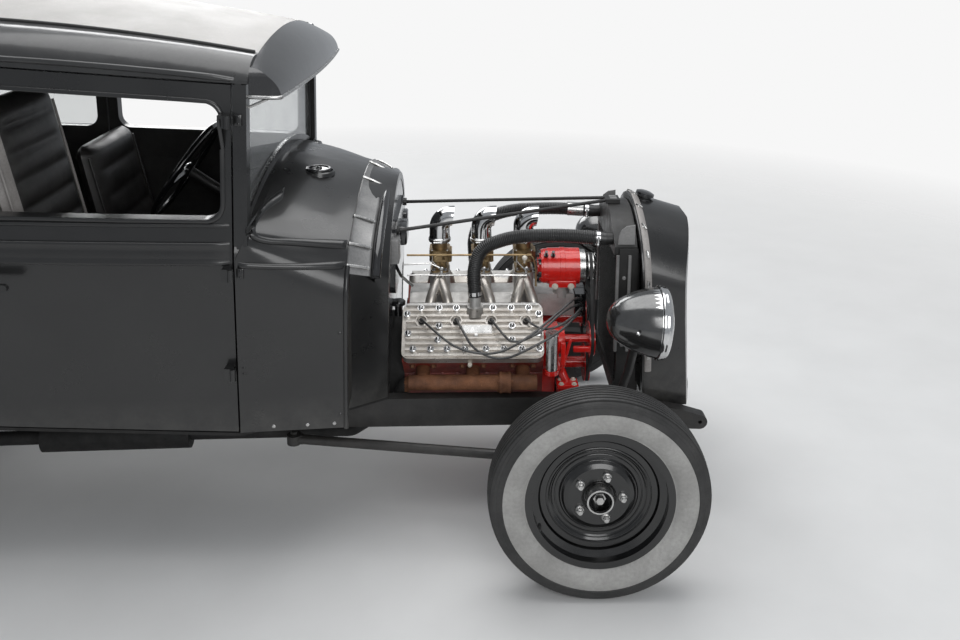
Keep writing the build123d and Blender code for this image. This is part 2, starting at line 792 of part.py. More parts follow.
arm_inset = 26
arm_z = front_tyre_radius - boss_height / 2 - ear_gap - ear_thickness / 2
ear_base = front_tyre_radius - boss_height / 2 - ear_gap - ear_thickness
spindle_start = kingpin_y + boss_radius + 2
for side, word in ((-1, "right"), (1, "left")):
    with BuildPart() as knuckle:
        for z in (ear_base, front_tyre_radius + boss_height / 2 + ear_gap):
            with BuildSketch(Plane.XY.offset(z)):
                with Locations((0, side * kingpin_y)):
                    Circle(boss_radius)
                with Locations((0, side * (kingpin_y + 20))):
                    Rectangle(2 * boss_radius, 40)
            extrude(amount=ear_thickness)
        with BuildSketch(Plane.XY.offset(ear_base)):
            with Locations((0, side * (spindle_start + 4))):
                Rectangle(2 * boss_radius, 8)
        extrude(amount=2 * (front_tyre_radius - ear_base))
        with BuildSketch(Plane.XY.offset(ear_base)):
            with Locations((0, side * kingpin_y)):
                Circle(kingpin_radius)
        extrude(amount=2 * (front_tyre_radius - ear_base))
        with BuildSketch(Plane(origin=(0, side * spindle_start, front_tyre_radius), z_dir=(0, side, 0))):
            Circle(spindle_radius)
        extrude(amount=92)
        with BuildSketch(Plane(origin=(0, side * (spindle_start + 7), front_tyre_radius), z_dir=(0, side, 0))):
            Circle(drum_radius - 16)
        extrude(amount=4)
        with BuildSketch(Plane.XY.offset(ear_base)):
            with BuildLine():
                Polyline(
                    (0, side * (kingpin_y - 14)), (-arm_reach, side * (kingpin_y - arm_inset - 13)),
                    (-arm_reach - 20, side * (kingpin_y - arm_inset)), (-arm_reach, side * (kingpin_y - arm_inset + 13)),
                    (0, side * (kingpin_y + 14)), close=True,
                )
            make_face()
        extrude(amount=ear_thickness)
    save(knuckle, "knuckle_" + word, ground)
    print("knuckle", word, len(knuckle.part.solids()))

# Tie rod under the steering arms, an eye and a pin at each end
tie_z = ear_base - 5 - tie_rod_radius
with BuildPart() as tie_rod:
    tie_y = kingpin_y - arm_inset
    with BuildSketch(Plane.XZ.offset(-tie_y)):
        with Locations((-arm_reach, tie_z)):
            Circle(tie_rod_radius)
    extrude(amount=2 * tie_y)
    for side in (-1, 1):
        with BuildSketch(Plane.XY.offset(tie_z - 14)):
            with Locations((-arm_reach, side * tie_y)):
                Circle(17)
        extrude(amount=28)
save(tie_rod, "tie_rod", ground)

# Front suspension: transverse leaf spring over the axle, shackles and split radius rods
spring_x = -54
rod_y_front = 490
rod_y_rear = 372
rod_rear_x = -960
rod_radius = 16


def bar(start, end, radius):
    """A round bar from one point to another."""
    line = Vector(*end) - Vector(*start)
    with BuildPart() as rod:
        with BuildSketch(Plane(origin=start, z_dir=line)):
            Circle(radius)
        extrude(amount=line.length)
    return rod.part


with BuildPart() as front_suspension:
    with BuildSketch(Plane.YZ.offset(spring_x - 22)):
        with BuildLine():
            Line((-430, 316), (-430, 324))
            ThreePointArc((-430, 324), (0, 344), (430, 324))
            Line((430, 324), (430, 316))
            ThreePointArc((430, 316), (0, 306), (-430, 316))
        make_face()
    extrude(amount=44)
    for side in (-1, 1):
        with BuildSketch(Plane.YZ.offset(spring_x - 26)):
            with Locations((side * 436, 322)):
                Circle(16)
        extrude(amount=52)
        add(bar((spring_x, side * 436, 322), (-4, side * 470, 282), 11))
        add(bar((-20, side * rod_y_front, 300), (rod_rear_x, side * rod_y_rear, 316), rod_radius))
        with BuildSketch(Plane.XY.offset(300)):
            with Locations((rod_rear_x, side * rod_y_rear)):
                Circle(24)
        extrude(amount=32)
    add(front_axle.part, mode=Mode.SUBTRACT)
    add(frame.part.moved(tip), mode=Mode.SUBTRACT)

# Rear axle: banjo housing, tapered tubes, brake plates and the torque tube
rear_z = rear_tyre_radius
banjo_radius = 150
torque_tube = 1180
with BuildPart() as rear_axle:
    with BuildSketch(Plane.YZ.offset(-wheelbase)):
        with BuildLine():
            Polyline(
                (0, rear_z), (620, rear_z), (620, rear_z + 34), (150, rear_z + 56), (92, rear_z + 120),
                (60, rear_z + banjo_radius), (0, rear_z + banjo_radius), close=True,
            )
        make_face()
        mirror(about=Plane.YZ)
    revolve(axis=Axis((-wheelbase, 0, rear_z), (0, 1, 0)))
    with BuildSketch(across(-wheelbase + 100)):
        with Locations((0, rear_z)):
            Circle(52)
    extrude(amount=torque_tube, taper=0.8)
    for side in (-1, 1):
        with BuildSketch(Plane(origin=(-wheelbase, side * 618, rear_z), z_dir=(0, side, 0))):
            Circle(drum_radius - 16)
        extrude(amount=6)
        with BuildSketch(Plane(origin=(-wheelbase, side * 620, rear_z), z_dir=(0, side, 0))):
            Circle(26)
        extrude(amount=48)
        with BuildSketch(Plane(origin=(-wheelbase, side * 620, rear_z), z_dir=(0, side, 0))):
            Circle(spindle_radius)
        extrude(amount=140)
save(rear_axle, "rear_axle", ground)

# Rear suspension: arched transverse spring behind the banjo and two radius rods
with BuildPart() as rear_suspension:
    with BuildSketch(Plane.YZ.offset(-wheelbase - 262)):
        with BuildLine():
            Line((-540, 372), (-540, 384))
            ThreePointArc((-540, 384), (0, 550), (540, 384))
            Line((540, 384), (540, 372))
            ThreePointArc((540, 372), (0, 500), (-540, 372))
        make_face()
    extrude(amount=54)
    for side in (-1, 1):
        add(bar((-wheelbase - 236, side * 536, 378), (-wheelbase - 40, side * 548, 360), 14))
        add(bar((-wheelbase - 20, side * 560, 330), (-wheelbase + 1150, side * 60, 330), 15))
    add(rear_axle.part, mode=Mode.SUBTRACT)
    add(frame.part.moved(tip), mode=Mode.SUBTRACT)
with BuildPart() as suspension:
    add(front_suspension.part)
    add(rear_suspension.part)
save(suspension, "suspension", ground)

# Engine: vee block with its bell housing and pan
head_centre = (engine_front_x + engine_rear_x) / 2


def bank(side):
    """The plane across a bank at its head's middle, its own z away from the crank."""
    a = radians(bank_angle)
    return Plane(
        origin=(head_centre, side * deck_distance * sin(a), crank_z + deck_distance * cos(a)),
        x_dir=(1, 0, 0), z_dir=(0, side * sin(a), cos(a)),
    )


with BuildPart() as engine_block:
    with BuildSketch(across(engine_rear_x)):
        with BuildLine():
            Polyline(
                (0, crank_z - 60), (150, crank_z - 60), (176, crank_z + 40), (90, crank_z + 215), (0, crank_z + 215), close=True
            )
        make_face()
        mirror(about=Plane.YZ)
    extrude(amount=engine_front_x - engine_rear_x)
    for side in (-1, 1):
        with BuildSketch(bank(side)):
            Rectangle(head_length, bank_width)
        extrude(amount=-180)
    with BuildSketch(across(engine_rear_x)):
        with BuildLine():
            Polyline((-150, crank_z - 50), (-132, crank_z - pan_depth), (132, crank_z - pan_depth), (150, crank_z - 50), close=True)
        make_face()
    extrude(amount=engine_front_x - engine_rear_x - 20)
    with BuildSketch(across(engine_rear_x)):
        with BuildLine():
            Polyline((-140, crank_z - 90), (-112, crank_z - sump_depth), (112, crank_z - sump_depth), (140, crank_z - 90), close=True)
        make_face()
    extrude(amount=sump_length)
    with BuildSketch(across(engine_rear_x - 95)):
        with Locations((0, crank_z)):
            Circle(190)
    extrude(amount=100)
save(engine_block, "engine_block", ground)

with BuildPart() as transmission:
    with BuildSketch(across(engine_rear_x - 95)):
        with Locations((0, crank_z)):
            Rectangle(230, 260)
    with BuildSketch(across(engine_rear_x - 420)):
        with Locations((0, crank_z - 6)):
            Rectangle(150, 170)
    loft()
    with BuildSketch(across(engine_rear_x - 420)):
        with Locations((0, crank_z - 6)):
            Circle(62)
    extrude(amount=-280, taper=3)
    add(bar((engine_rear_x - 330, 0, crank_z + 90), (engine_rear_x - 470, 0, 900), 7))
    with BuildSketch(Plane(origin=(engine_rear_x - 470, 0, 900), z_dir=(-0.28, 0, 0.96))):
        Circle(22)
    extrude(amount=40)
save(transmission, "transmission", ground)

# Finned cylinder heads: fins along the head, a plain pad, plug wells and a water outlet neck
fin_count = 10
fin_width = 7
fin_height = 11
well_radius = 17
well_up = 31
plug_spread = (-174, -57, 62, 180)
outlet_x = head_centre + 8
with BuildPart() as cylinder_heads:
    for side in (-1, 1):
        with BuildSketch(bank(side)):
            RectangleRounded(head_length, head_width, 26)
        extrude(amount=head_thickness - fin_height)
        with BuildSketch(bank(side).offset(head_thickness - fin_height - 2)):
            with GridLocations(0, (head_width - 20) / (fin_count - 1), 1, fin_count):
                RectangleRounded(head_length - 24, fin_width, 3)
            for spread in plug_spread:
                with Locations((spread, well_up * -side)):
                    Circle(well_radius + 4)
            with Locations((12, 0)):
                Rectangle(108, 36)
        extrude(amount=fin_height + 2)
        with BuildSketch(bank(side).offset(head_thickness - fin_height)):
            for spread in plug_spread:
                with Locations((spread, well_up * -side)):
                    Circle(well_radius)
        extrude(amount=fin_height + 2, mode=Mode.SUBTRACT)
        with BuildSketch(bank(side).offset(head_thickness - fin_height - 2)):
            for spread in plug_spread:
                with Locations((spread, well_up * -side)):
                    Circle(8)
        extrude(amount=fin_height + 8)
        add(bar((outlet_x, side * 176, 668), (outlet_x, side * 176, 700), 28))
        add(bar((outlet_x, side * 176, 698), (outlet_x, side * 175, 756), 19))
save(cylinder_heads, "cylinder_heads", ground)

# Intake manifold with its risers and the oil filler
with BuildPart() as intake_manifold:
    with BuildSketch(across(engine_rear_x + 20)):
        with BuildLine():
            Polyline((-95, crank_z + 214), (-80, 676), (-46, 700), (46, 700), (80, 676), (95, crank_z + 214), close=True)
        make_face()
    extrude(amount=engine_front_x - engine_rear_x - 40)
    for x in carb_x:
        with BuildSketch(Plane.XY.offset(690)):
            with Locations((x, 0)):
                RectangleRounded(70, 110, 20)
        extrude(amount=carb_base_z - 690)
    add(bar((generator_x, generator_y, 690), (generator_x, generator_y, generator_z - generator_radius + 4), 30))
    with BuildSketch(Plane.XY.offset(crank_z + 214)):
        with Locations((generator_x - 40, 0)):
            Rectangle(170, 150)
    extrude(amount=80)
    add(engine_block.part, mode=Mode.SUBTRACT)
save(intake_manifold, "intake_manifold", ground)

# Carburettors: base flange, throttle body, float bowl ahead of it and air horn
with BuildPart() as carburettors:
    for x in carb_x:
        with BuildSketch(Plane.XY.offset(carb_base_z)):
            with Locations((x, 0)):
                RectangleRounded(62, 100, 12)
        extrude(amount=8)
        with BuildSketch(Plane.XY.offset(carb_base_z + 6)):
            with Locations((x, 0)):
                RectangleRounded(48, 76, 16)
        extrude(amount=34)
        with BuildSketch(Plane.XY.offset(carb_base_z + 38)):
            with Locations((x, 0)):
                RectangleRounded(72, 96, 20)
        extrude(amount=40)
        with BuildSketch(Plane.XY.offset(carb_base_z + 34)):
            with Locations((x + 26, 0)):
                RectangleRounded(34, 70, 12)
        extrude(amount=38)
        with BuildSketch(Plane.XY.offset(carb_base_z + 78)):
            with Locations((x, 0)):
                Circle(27)
        extrude(amount=carb_height - 78)
        add(bar((x + 8, -66, carb_base_z + 22), (x + 8, 66, carb_base_z + 22), 5))
save(carburettors, "carburettors", ground)

# Air scoops: upright horns that curl forward, their mouths cut on a slant
scoop_wall = 2.5
scoop_rise = 42
scoop_bend = 42
scoop_lip = 20
with BuildPart() as air_scoops:
    for x in carb_x:
        base = carb_base_z + carb_height
        level = base + scoop_rise + scoop_bend
        with BuildLine(mode=Mode.PRIVATE) as path:
            Line((x, 0, base), (x, 0, base + scoop_rise))
            TangentArc((x, 0, base + scoop_rise), (x + scoop_bend, 0, level), tangent=(0, 0, 1))
            Line((x + scoop_bend, 0, level), (x + scoop_bend + scoop_lip, 0, level))
        with BuildSketch(Plane.XY.offset(base), mode=Mode.PRIVATE) as ring:
            with Locations((x, 0)):
                Circle(scoop_radius)
                Circle(scoop_radius - scoop_wall, mode=Mode.SUBTRACT)
        sweep(sections=ring.sketch, path=path.wire())
        with BuildSketch(beside(-60)):
            with BuildLine():
                Polyline(
                    (x + 55, level + 44), (x + 43.5, level - 42), (x + 140, level - 42), (x + 140, level + 44), close=True,
                )
            make_face()
        extrude(amount=-120, mode=Mode.SUBTRACT)
save(air_scoops, "air_scoops", ground)

# Generator on its stand at the front of the manifold, its pulley and fan ahead of it
pulley_x = generator_x + generator_length / 2 + 14
with BuildPart() as generator_turned:
    with BuildSketch(Plane.XY):
        with BuildLine():
            back = -generator_length / 2
            front = generator_length / 2
            Polyline(
                (back, 0), (back, 30), (back + 6, 30), (back + 6, generator_radius - 12), (back + 12, generator_radius - 5),
                (back + 34, generator_radius - 5), (back + 34, generator_radius), (front - 26, generator_radius),
                (front - 26, generator_radius - 4), (front - 6, generator_radius - 6), (front, generator_radius - 18),
                (front, 12), (front + 5, 12), (front + 5, 47), (front + 8, 47), (front + 10, 37), (front + 18, 37),
                (front + 20, 47), (front + 23, 47), (front + 23, 14), (front + 29, 14), (front + 29, 0), close=True,
            )
        make_face()
    revolve(axis=Axis.X)
with BuildPart() as generator:
    add(generator_turned.part.moved(Location((generator_x, generator_y, generator_z))))
    add(intake_manifold.part, mode=Mode.SUBTRACT)
save(generator, "generator", ground)

# Exhaust manifolds low on each bank, with the pipes that run back under the floor
port_spread = (-170, 0, 170)
manifold_z = 470
flange_ahead = 108
manifold_y = 282
with BuildPart() as exhaust_manifolds:
    for side in (-1, 1):
        add(bar((head_centre - 215, side * manifold_y, manifold_z), (head_centre + 215, side * manifold_y, manifold_z), 26))
        for spread in port_spread:
            add(bar((head_centre + spread, side * 170, crank_z + 95), (head_centre + spread, side * manifold_y, manifold_z), 24))
        with BuildSketch(Plane(origin=(head_centre + flange_ahead, side * manifold_y, manifold_z), z_dir=(1, 0, 0))):
            Circle(34)
        extrude(amount=10, both=True)
        with BuildLine(mode=Mode.PRIVATE) as pipe_path:
            FilletPolyline(
                (head_centre - 170, side * manifold_y, manifold_z), (-592, side * 266, 462), (-640, side * 240, 372),
                (-790, side * 214, 262), (-1300, side * 205, 246), (-2150, side * 250, 246),
                radius=40,
            )
        start = Plane(origin=pipe_path.wire() @ 0, z_dir=pipe_path.wire() % 0)
        with BuildSketch(start, mode=Mode.PRIVATE) as pipe_round:
            Circle(24)
        sweep(sections=pipe_round.sketch, path=pipe_path.wire())
        add(bar((-1350, side * 208, 246), (-1850, side * 234, 246), 50))
    add(engine_block.part, mode=Mode.SUBTRACT)
save(exhaust_manifolds, "exhaust_manifolds", ground)

# Front drive: timing cover, two water pumps with mounts, distributor, oil filler, pulleys and belt
belt_x = pulley_x
timing_cover = 46
pump_reach = 76
pump_y = 150
distributor_x = 11
distributor_z = 652
distributor_radius = 52
distributor_length = 38
tower_reach = 72
mount_z = 389
filler_x = -106
filler_y = -280
# Pulleys on the belt: y, height, radius of the belt round them
crank_radius = 66
pump_radius = 58
generator_pulley = 44
belt_rounds = (
    (0, crank_z, crank_radius),
    (-128, 560, pump_radius),
    (generator_y, generator_z, generator_pulley),
    (128, 560, pump_radius),
)


def belt_outline(grow):
    """The closed line round all the pulleys, grown outwards."""
    with BuildSketch() as outline:
        with BuildSketch(mode=Mode.PRIVATE) as rounds:
            for y, z, radius in belt_rounds:
                with Locations((y, z)):
                    Circle(radius + grow)
        make_hull(rounds.edges())
    return outline.sketch


def vee_pulley(y, z, radius):
    """A pulley with a vee groove, its middle at the belt."""
    with BuildPart() as pulley:
        with BuildSketch(Plane.XY):
            with BuildLine():
                Polyline(
                    (-9, 0), (-9, radius + 3), (-6, radius + 3), (-4, radius - 7), (4, radius - 7), (6, radius + 3),
                    (9, radius + 3), (9, 0), close=True,
                )
            make_face()
        revolve(axis=Axis.X)
    return pulley.part.moved(Location((belt_x, y, z)))


with BuildPart() as front_drive:
    with BuildSketch(across(engine_front_x)):
        with BuildLine():
            Polyline((-130, crank_z - 120), (-150, crank_z + 60), (-80, crank_z + 190), (80, crank_z + 190),
                     (150, crank_z + 60), (130, crank_z - 120), close=True)
        make_face()
    extrude(amount=timing_cover)
    for side in (-1, 1):
        with BuildSketch(across(engine_front_x)):
            with Locations((side * pump_y, 545)):
                RectangleRounded(110, 150, 30)
        extrude(amount=pump_reach - 24)
        with BuildSketch(across(engine_front_x + pump_reach - 26)):
            with Locations((side * (pump_y - 20), 556)):
                Circle(50)
        extrude(amount=26, taper=8)
        add(bar((engine_front_x + pump_reach - 2, side * 128, 560), (belt_x, side * 128, 560), 14))
        add(vee_pulley(side * 128, 560, pump_radius))
        add(bar((engine_front_x + 50, side * 186, 500), (-46, side * 214, 428), 15))
        with BuildSketch(Plane.XY.offset(mount_z)):
            with Locations((-46, side * 214)):
                RectangleRounded(70, 56, 14)
        extrude(amount=34)
    add(bar((engine_front_x + 40, 0, crank_z), (belt_x, 0, crank_z), 20))
    add(vee_pulley(0, crank_z, crank_radius))
    add(bar((engine_front_x + 40, 0, 590), (distributor_x + distributor_length / 2 - 6, 0, 590), 24))
    with BuildSketch(across(distributor_x - distributor_length / 2)):
        with Locations((0, distributor_z)):
            Circle(distributor_radius)
        with Locations((0, distributor_z + 8)):
            Rectangle(2 * tower_reach, 84)
    extrude(amount=distributor_length)
    with BuildSketch(Plane.XY.offset(500)):
        with Locations((filler_x, filler_y)):
            Circle(18)
    extrude(amount=140)
    for z, height, radius in ((500, 14, 23), (640, 10, 22)):
        with BuildSketch(Plane.XY.offset(z)):
            with Locations((filler_x, filler_y)):
                Circle(radius)
        extrude(amount=height)
    add(bar((filler_x, filler_y, 520), (filler_x + 10, -pump_y - 40, 520), 11))
    with BuildSketch(across(belt_x - 5)):
        add(belt_outline(3))
        add(belt_outline(-5), mode=Mode.SUBTRACT)
    extrude(amount=10)
    add(generator.part, mode=Mode.SUBTRACT)
save(front_drive, "front_drive", ground)

# Radiator with its top tank and two necks, and its lower tank
radiator_x = 118
radiator_half = 212
neck_y = 165
neck_z = 938
with BuildPart() as radiator:
    with BuildSketch(across(radiator_x)):
        with Locations((0, 665)):
            Rectangle(2 * radiator_half, 470)
    extrude(amount=70)
    with BuildSketch(across(radiator_x - 16)):
        with BuildLine():
            Polyline((-radiator_half - 6, 896), (-radiator_half - 6, 925))
            ThreePointArc((-radiator_half - 6, 925), (0, 1022), (radiator_half + 6, 925))
            Polyline((radiator_half + 6, 925), (radiator_half + 6, 896), (-radiator_half - 6, 896))
        make_face()
    extrude(amount=76)
    with BuildSketch(across(radiator_x - 8)):
        with Locations((0, 412)):
            Rectangle(2 * radiator_half, 50)
    extrude(amount=86)
    for side in (-1, 1):
        add(bar((radiator_x + 10, side * neck_y, neck_z), (radiator_x - 56, side * neck_y, neck_z), 21))
        with BuildSketch(across(radiator_x)):
            with Locations((side * (radiator_half + 8), 700)):
                Rectangle(16, 440)
        extrude(amount=62)
save(radiator, "radiator", ground)

# Radiator shell: a deep surround with a rounded top and a nose that comes forward in the middle
shell_place = ground * Location((shell_x, 0, shell_z), (0, shell_lean, 0))


def shell_outline(inset, height):
    """The shell's front view at one height, drawn in by an inset."""
    half = shell_half_width - inset
    high = height - inset
    with BuildSketch() as outline:
        with BuildLine():
            Polyline((0, inset), (half - 40, inset), (half - 33, 70), (half - 4, 330), (half - 4, height - 232))
            TangentArc((half - 4, height - 232), (half * 0.56, high - 44), tangent=(0, 1))
            ThreePointArc((half * 0.56, high - 44), (half * 0.28, high - 11), (0, high))
            Line((0, high), (0, inset))
        make_face()
        mirror(about=Plane.YZ)
    return outline.sketch


shell_fall = (shell_height - shell_front_height) / shell_nose_depth
shell_opening = shell_outline(grille_inset, shell_front_height)


def shell_form(inset, x_from, x_to):
    """The shell's closed form between two stations: its top falls towards the front."""
    with BuildPart() as form:
        for x in (x_from, x_to):
            with BuildSketch(across(x)):
                add(shell_outline(inset, shell_height - shell_fall * x))
        loft()
    return form.part


with BuildPart() as shell_nose:
    with BuildSketch(Plane.XY.offset(-20)):
        with BuildLine():
            ThreePointArc((shell_side_depth, shell_half_width + 10), (shell_nose_depth, 0), (shell_side_depth, -shell_half_width - 10))
            Polyline((shell_side_depth, -shell_half_width - 10), (-10, -shell_half_width - 10), (-10, shell_half_width + 10),
                     (shell_side_depth, shell_half_width + 10))
        make_face()
    extrude(amount=shell_height + 60)

shell_brow = 44
shell_back = shell_side_depth - 32
with BuildPart() as radiator_shell:
    add(shell_form(0, 0, shell_nose_depth + 10))
    add(shell_nose.part, mode=Mode.INTERSECT)
    with BuildSketch(beside(-shell_half_width - 20)) as brow:
        with BuildLine():
            Polyline((-20, -20), (-20, shell_height + 40), (shell_nose_depth + 1, shell_front_height + 2), (shell_nose_depth + 1, -20), close=True)
        make_face()
        fillet(brow.vertices().sort_by(Axis.X)[-2:].sort_by(Axis.Y)[-1], shell_brow)
    extrude(amount=-2 * shell_half_width - 40, mode=Mode.INTERSECT)
    add(shell_form(shell_wall, 0, shell_back), mode=Mode.SUBTRACT)
    with BuildSketch(across(-5)):
        add(shell_outline(shell_wall / 3, shell_height))
        add(shell_outline(grille_inset, shell_height), mode=Mode.SUBTRACT)
    extrude(amount=5)
    with BuildSketch(across(shell_back - 10)):
        add(shell_opening)
    extrude(amount=shell_nose_depth, mode=Mode.SUBTRACT)
    for index in range(grille_bars):
        y = (index - (grille_bars - 1) / 2) * 2 * (shell_half_width - grille_inset) / (grille_bars + 1)
        top = shell_front_height - 24 - 150 * (abs(y) / shell_half_width) ** 2.4
        with BuildSketch(Plane.XY.offset(20)):
            with Locations((shell_back + 16, y)):
                Rectangle(14, grille_bar)
        extrude(amount=top - 20)
save(radiator_shell, "radiator_shell", shell_place)

# Radiator support rods from the firewall to the top of the radiator
radiator_top = 1022
with BuildPart() as radiator_rods:
    for side in (-1, 1):
        foot = tipped(firewall_x + 10, side * 175, 950)
        ahead = tipped(firewall_x + 18, side * 175, 950)
        add(bar(foot, ahead, 14))
        add(bar(ahead, (124, side * 12, radiator_top + 10), 6))
    with BuildSketch(Plane.XY.offset(radiator_top)):
        with Locations((120, 0)):
            Rectangle(50, 60)
    extrude(amount=14)
save(radiator_rods, "radiator_rods", ground)

# Radiator hoses from each head's outlet to its neck
hose_radius = 23
hose_start_x = outlet_x
with BuildPart() as radiator_hoses:
    for side in (-1, 1):
        with BuildLine(mode=Mode.PRIVATE) as hose_path:
            FilletPolyline(
                (hose_start_x, side * 175, 736), (hose_start_x - 6, side * 170, 830), (hose_start_x + 20, side * 160, 905),
                (hose_start_x + 130, side * 160, 945), (-60, side * 165, 950), (radiator_x - 40, side * neck_y, neck_z),
                radius=45,
            )
        start = Plane(origin=hose_path.wire() @ 0, z_dir=hose_path.wire() % 0)
        with BuildSketch(start, mode=Mode.PRIVATE) as hose_round:
            Circle(hose_radius)
        sweep(sections=hose_round.sketch, path=hose_path.wire())
    add(radiator.part, mode=Mode.SUBTRACT)
    add(cylinder_heads.part, mode=Mode.SUBTRACT)
save(radiator_hoses, "radiator_hoses", ground)

# Headlights: bowl-backed shells with a rim and a domed lens, tilted, on stands from the rails
lamp_back = lamp_length - 103
bowl_tip = 78
with BuildPart() as lamp_bowl:
    with BuildSketch(Plane.XZ):
        with BuildLine():
            turn = radians(125)
            tip_end = (bowl_tip - lamp_back + bowl_tip * cos(turn), bowl_tip * sin(turn))
            TangentArc((-lamp_back, 0), tip_end, tangent=(0, 1))
            TangentArc(tip_end, (50, lamp_radius - 4), tangent=(sin(turn), -cos(turn)))
            Polyline((50, lamp_radius - 4), (54, lamp_radius - 4), (54, lamp_radius), (70, lamp_radius))
            ThreePointArc((70, lamp_radius), (81, lamp_radius - 6), (85, lamp_radius - 17))
            TangentArc((103, 0), (85, lamp_radius - 17), tangent=(0, 1))
            Line((103, 0), (-lamp_back, 0))
        make_face()
    revolve(axis=Axis.X)
with BuildPart() as headlights:
    for side in (-1, 1):
        add(lamp_bowl.part.moved(Location((lamp_x, side * lamp_y, lamp_z), (0, lamp_tilt, 0))))
        add(bar((lamp_x - 10, side * lamp_y, lamp_z - 70), (lamp_x - 20, side * (lamp_y - 60), 560), 14))
        add(bar((lamp_x - 20, side * (lamp_y - 60), 560), (lamp_x - 40, side * (horn_outer - 8), 390), 14))
    add(frame.part.moved(tip), mode=Mode.SUBTRACT)

# Tail lamps on short brackets from the tail panel
with BuildPart() as tail_lamps:
    for side in (-1, 1):
        with BuildSketch(across(rear_x + 12)):
            with Locations((side * 420, 600)):
                Circle(14)
        extrude(amount=-24)
        with BuildSketch(across(rear_x + 8)):
            with Locations((side * 420, 600)):
                Circle(44)
        extrude(amount=-20)
    add(rear_body.part, mode=Mode.SUBTRACT)
with BuildPart() as lamps:
    add(headlights.part)
    add(tail_lamps.part.moved(tip))
save(lamps, "lamps", ground)

# Seats: a high back for the passenger, a low one for the driver, and the rear bench
# Front seats: y, height of the back
front_seats = (
    (-300, 1425),
    (300, 1165),
)
seat_half = 228
with BuildPart() as seats:
    for y, top in front_seats:
        lean = (top - 590) * 0.19
        with BuildSketch(beside(y - seat_half)):
            with BuildLine():
                Polyline((-1620, body_floor + 90), (-1120, body_floor + 110), (-1112, 640), (-1600, 600), (-1620, 560), close=True)
            make_face()
        extrude(amount=-2 * seat_half)
        with BuildSketch(beside(y - seat_half)):
            with BuildLine():
                Polyline((-1605, 590), (-1605 - lean, top - 50))
                TangentArc((-1605 - lean, top - 50), (-1690 - lean, top - 35), tangent=(-lean, top - 640))
                Polyline((-1690 - lean, top - 35), (-1725, 540), (-1630, 540), (-1605, 590))
            make_face()
        extrude(amount=-2 * seat_half)
        with BuildSketch(Plane.XY.offset(body_floor)):
            with Locations((-1370, y)):
                Rectangle(420, 380)
        extrude(amount=100)
    with BuildSketch(beside(-480)):
        with BuildLine():
            bench = body_floor + kick_up + 1
            Polyline((-2690, bench), (-2150, bench), (-2140, 690), (-2560, 660), (-2690, 1130), (-2790, 1130), close=True)
        make_face()
    extrude(amount=-960)
save(seats, "seats", stance)

# Steering wheel and its column
column = Vector(*column_high) - Vector(*column_low)
wheel_rim = 205
wheel_plane = Plane(origin=column_high, z_dir=column)
with BuildPart() as steering_column:
    foot = Vector(*column_low) - column * ((column_low[0] - firewall_x + 8) / column.X * -1)
    add(bar(tuple(foot), tuple(Vector(*column_high) - column.normalized() * 22), 21))
    add(firewall.part, mode=Mode.SUBTRACT)
    with BuildSketch(Plane.XY.offset(300)):
        with Locations((firewall_x + 92, column_y)):
            Rectangle(200, 300)
    extrude(amount=500, mode=Mode.SUBTRACT)
save(steering_column, "steering_column", stance)

with BuildPart() as steering_wheel:
    with BuildSketch(Plane(origin=column_high, x_dir=wheel_plane.x_dir, z_dir=wheel_plane.y_dir)):
        with Locations((wheel_rim, 0)):
            Circle(12)
    revolve(axis=Axis(column_high, tuple(column)))
    with BuildSketch(wheel_plane.offset(-14)):
        Circle(34)
        for turn in (90, 210, 330):
            with PolarLocations(wheel_rim / 2, 1, start_angle=turn):
                Rectangle(wheel_rim, 20)
    extrude(amount=12)
save(steering_wheel, "steering_wheel", stance)

# Spark plug leads from each bank's plugs to the distributor at the engine's front
# Lead routes on the left, mirrored to the right: height at the distributor, free points
lead_routes = (
    (690, (
        (-498, 300, 664), (-419, 335, 612), (-298, 347, 596), (-193, 335, 650),
        (-95, 285, 714), (-19, 215, 751),
    )),
    (634, (
        (-402, 285, 657), (-369, 325, 607), (-275, 345, 574), (-166, 335, 625),
        (-75, 297, 661), (-8, 210, 692),
    )),
    (672, (
        (-280, 285, 656), (-237, 310, 618), (-145, 298, 655), (-71, 245, 708), (1, 165, 706),
    )),
    (653, (
        (-159, 262, 657), (-106, 238, 639), (-41, 222, 668), (7, 175, 699),
    )),
)
lead_radius = 4
lead_share = 0.45
plug_end_y = 216
plug_end_z = 670


def bend_radii(points):
    """The radius of each inner corner, which takes a share of the shorter run beside it."""
    corners = [Vector(*point) for point in points]
    radii = []
    for before, at, after in zip(corners, corners[1:], corners[2:]):
        shorter = min((at - before).length, (after - at).length)
        radii.append(lead_share * shorter / tan(radians((at - before).get_angle(after - at)) / 2))
    return radii


with BuildPart() as plug_leads:
    for side in (-1, 1):
        for spread, (end_z, free_points) in zip(plug_spread, lead_routes):
            points = [(head_centre + spread, plug_end_y, plug_end_z), *free_points]
            points += [(distributor_x, tower_reach + 46, end_z + 4), (distributor_x, tower_reach + 1, end_z)]
            points = [(x, side * y, z) for x, y, z in points]
            radii = bend_radii(points)
            with BuildLine(mode=Mode.PRIVATE) as lead_path:
                FilletPolyline(*points, radius=radii)
            wire = lead_path.wire()
            with BuildSketch(Plane(origin=wire @ 0, z_dir=wire % 0), mode=Mode.PRIVATE) as lead_round:
                Circle(lead_radius)
            sweep(sections=lead_round.sketch, path=wire)
            print("lead", side, spread, "length", round(wire.length), "radii", [round(radius) for radius in radii])
save(plug_leads, "plug_leads", ground)
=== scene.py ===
"""The looks of a fenderless steel sedan with an open engine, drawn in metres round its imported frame."""

from math import cos, pi, radians, sin, tau

import bmesh
import bpy
from mathutils import Matrix, Vector
from mathutils.bvhtree import BVHTree


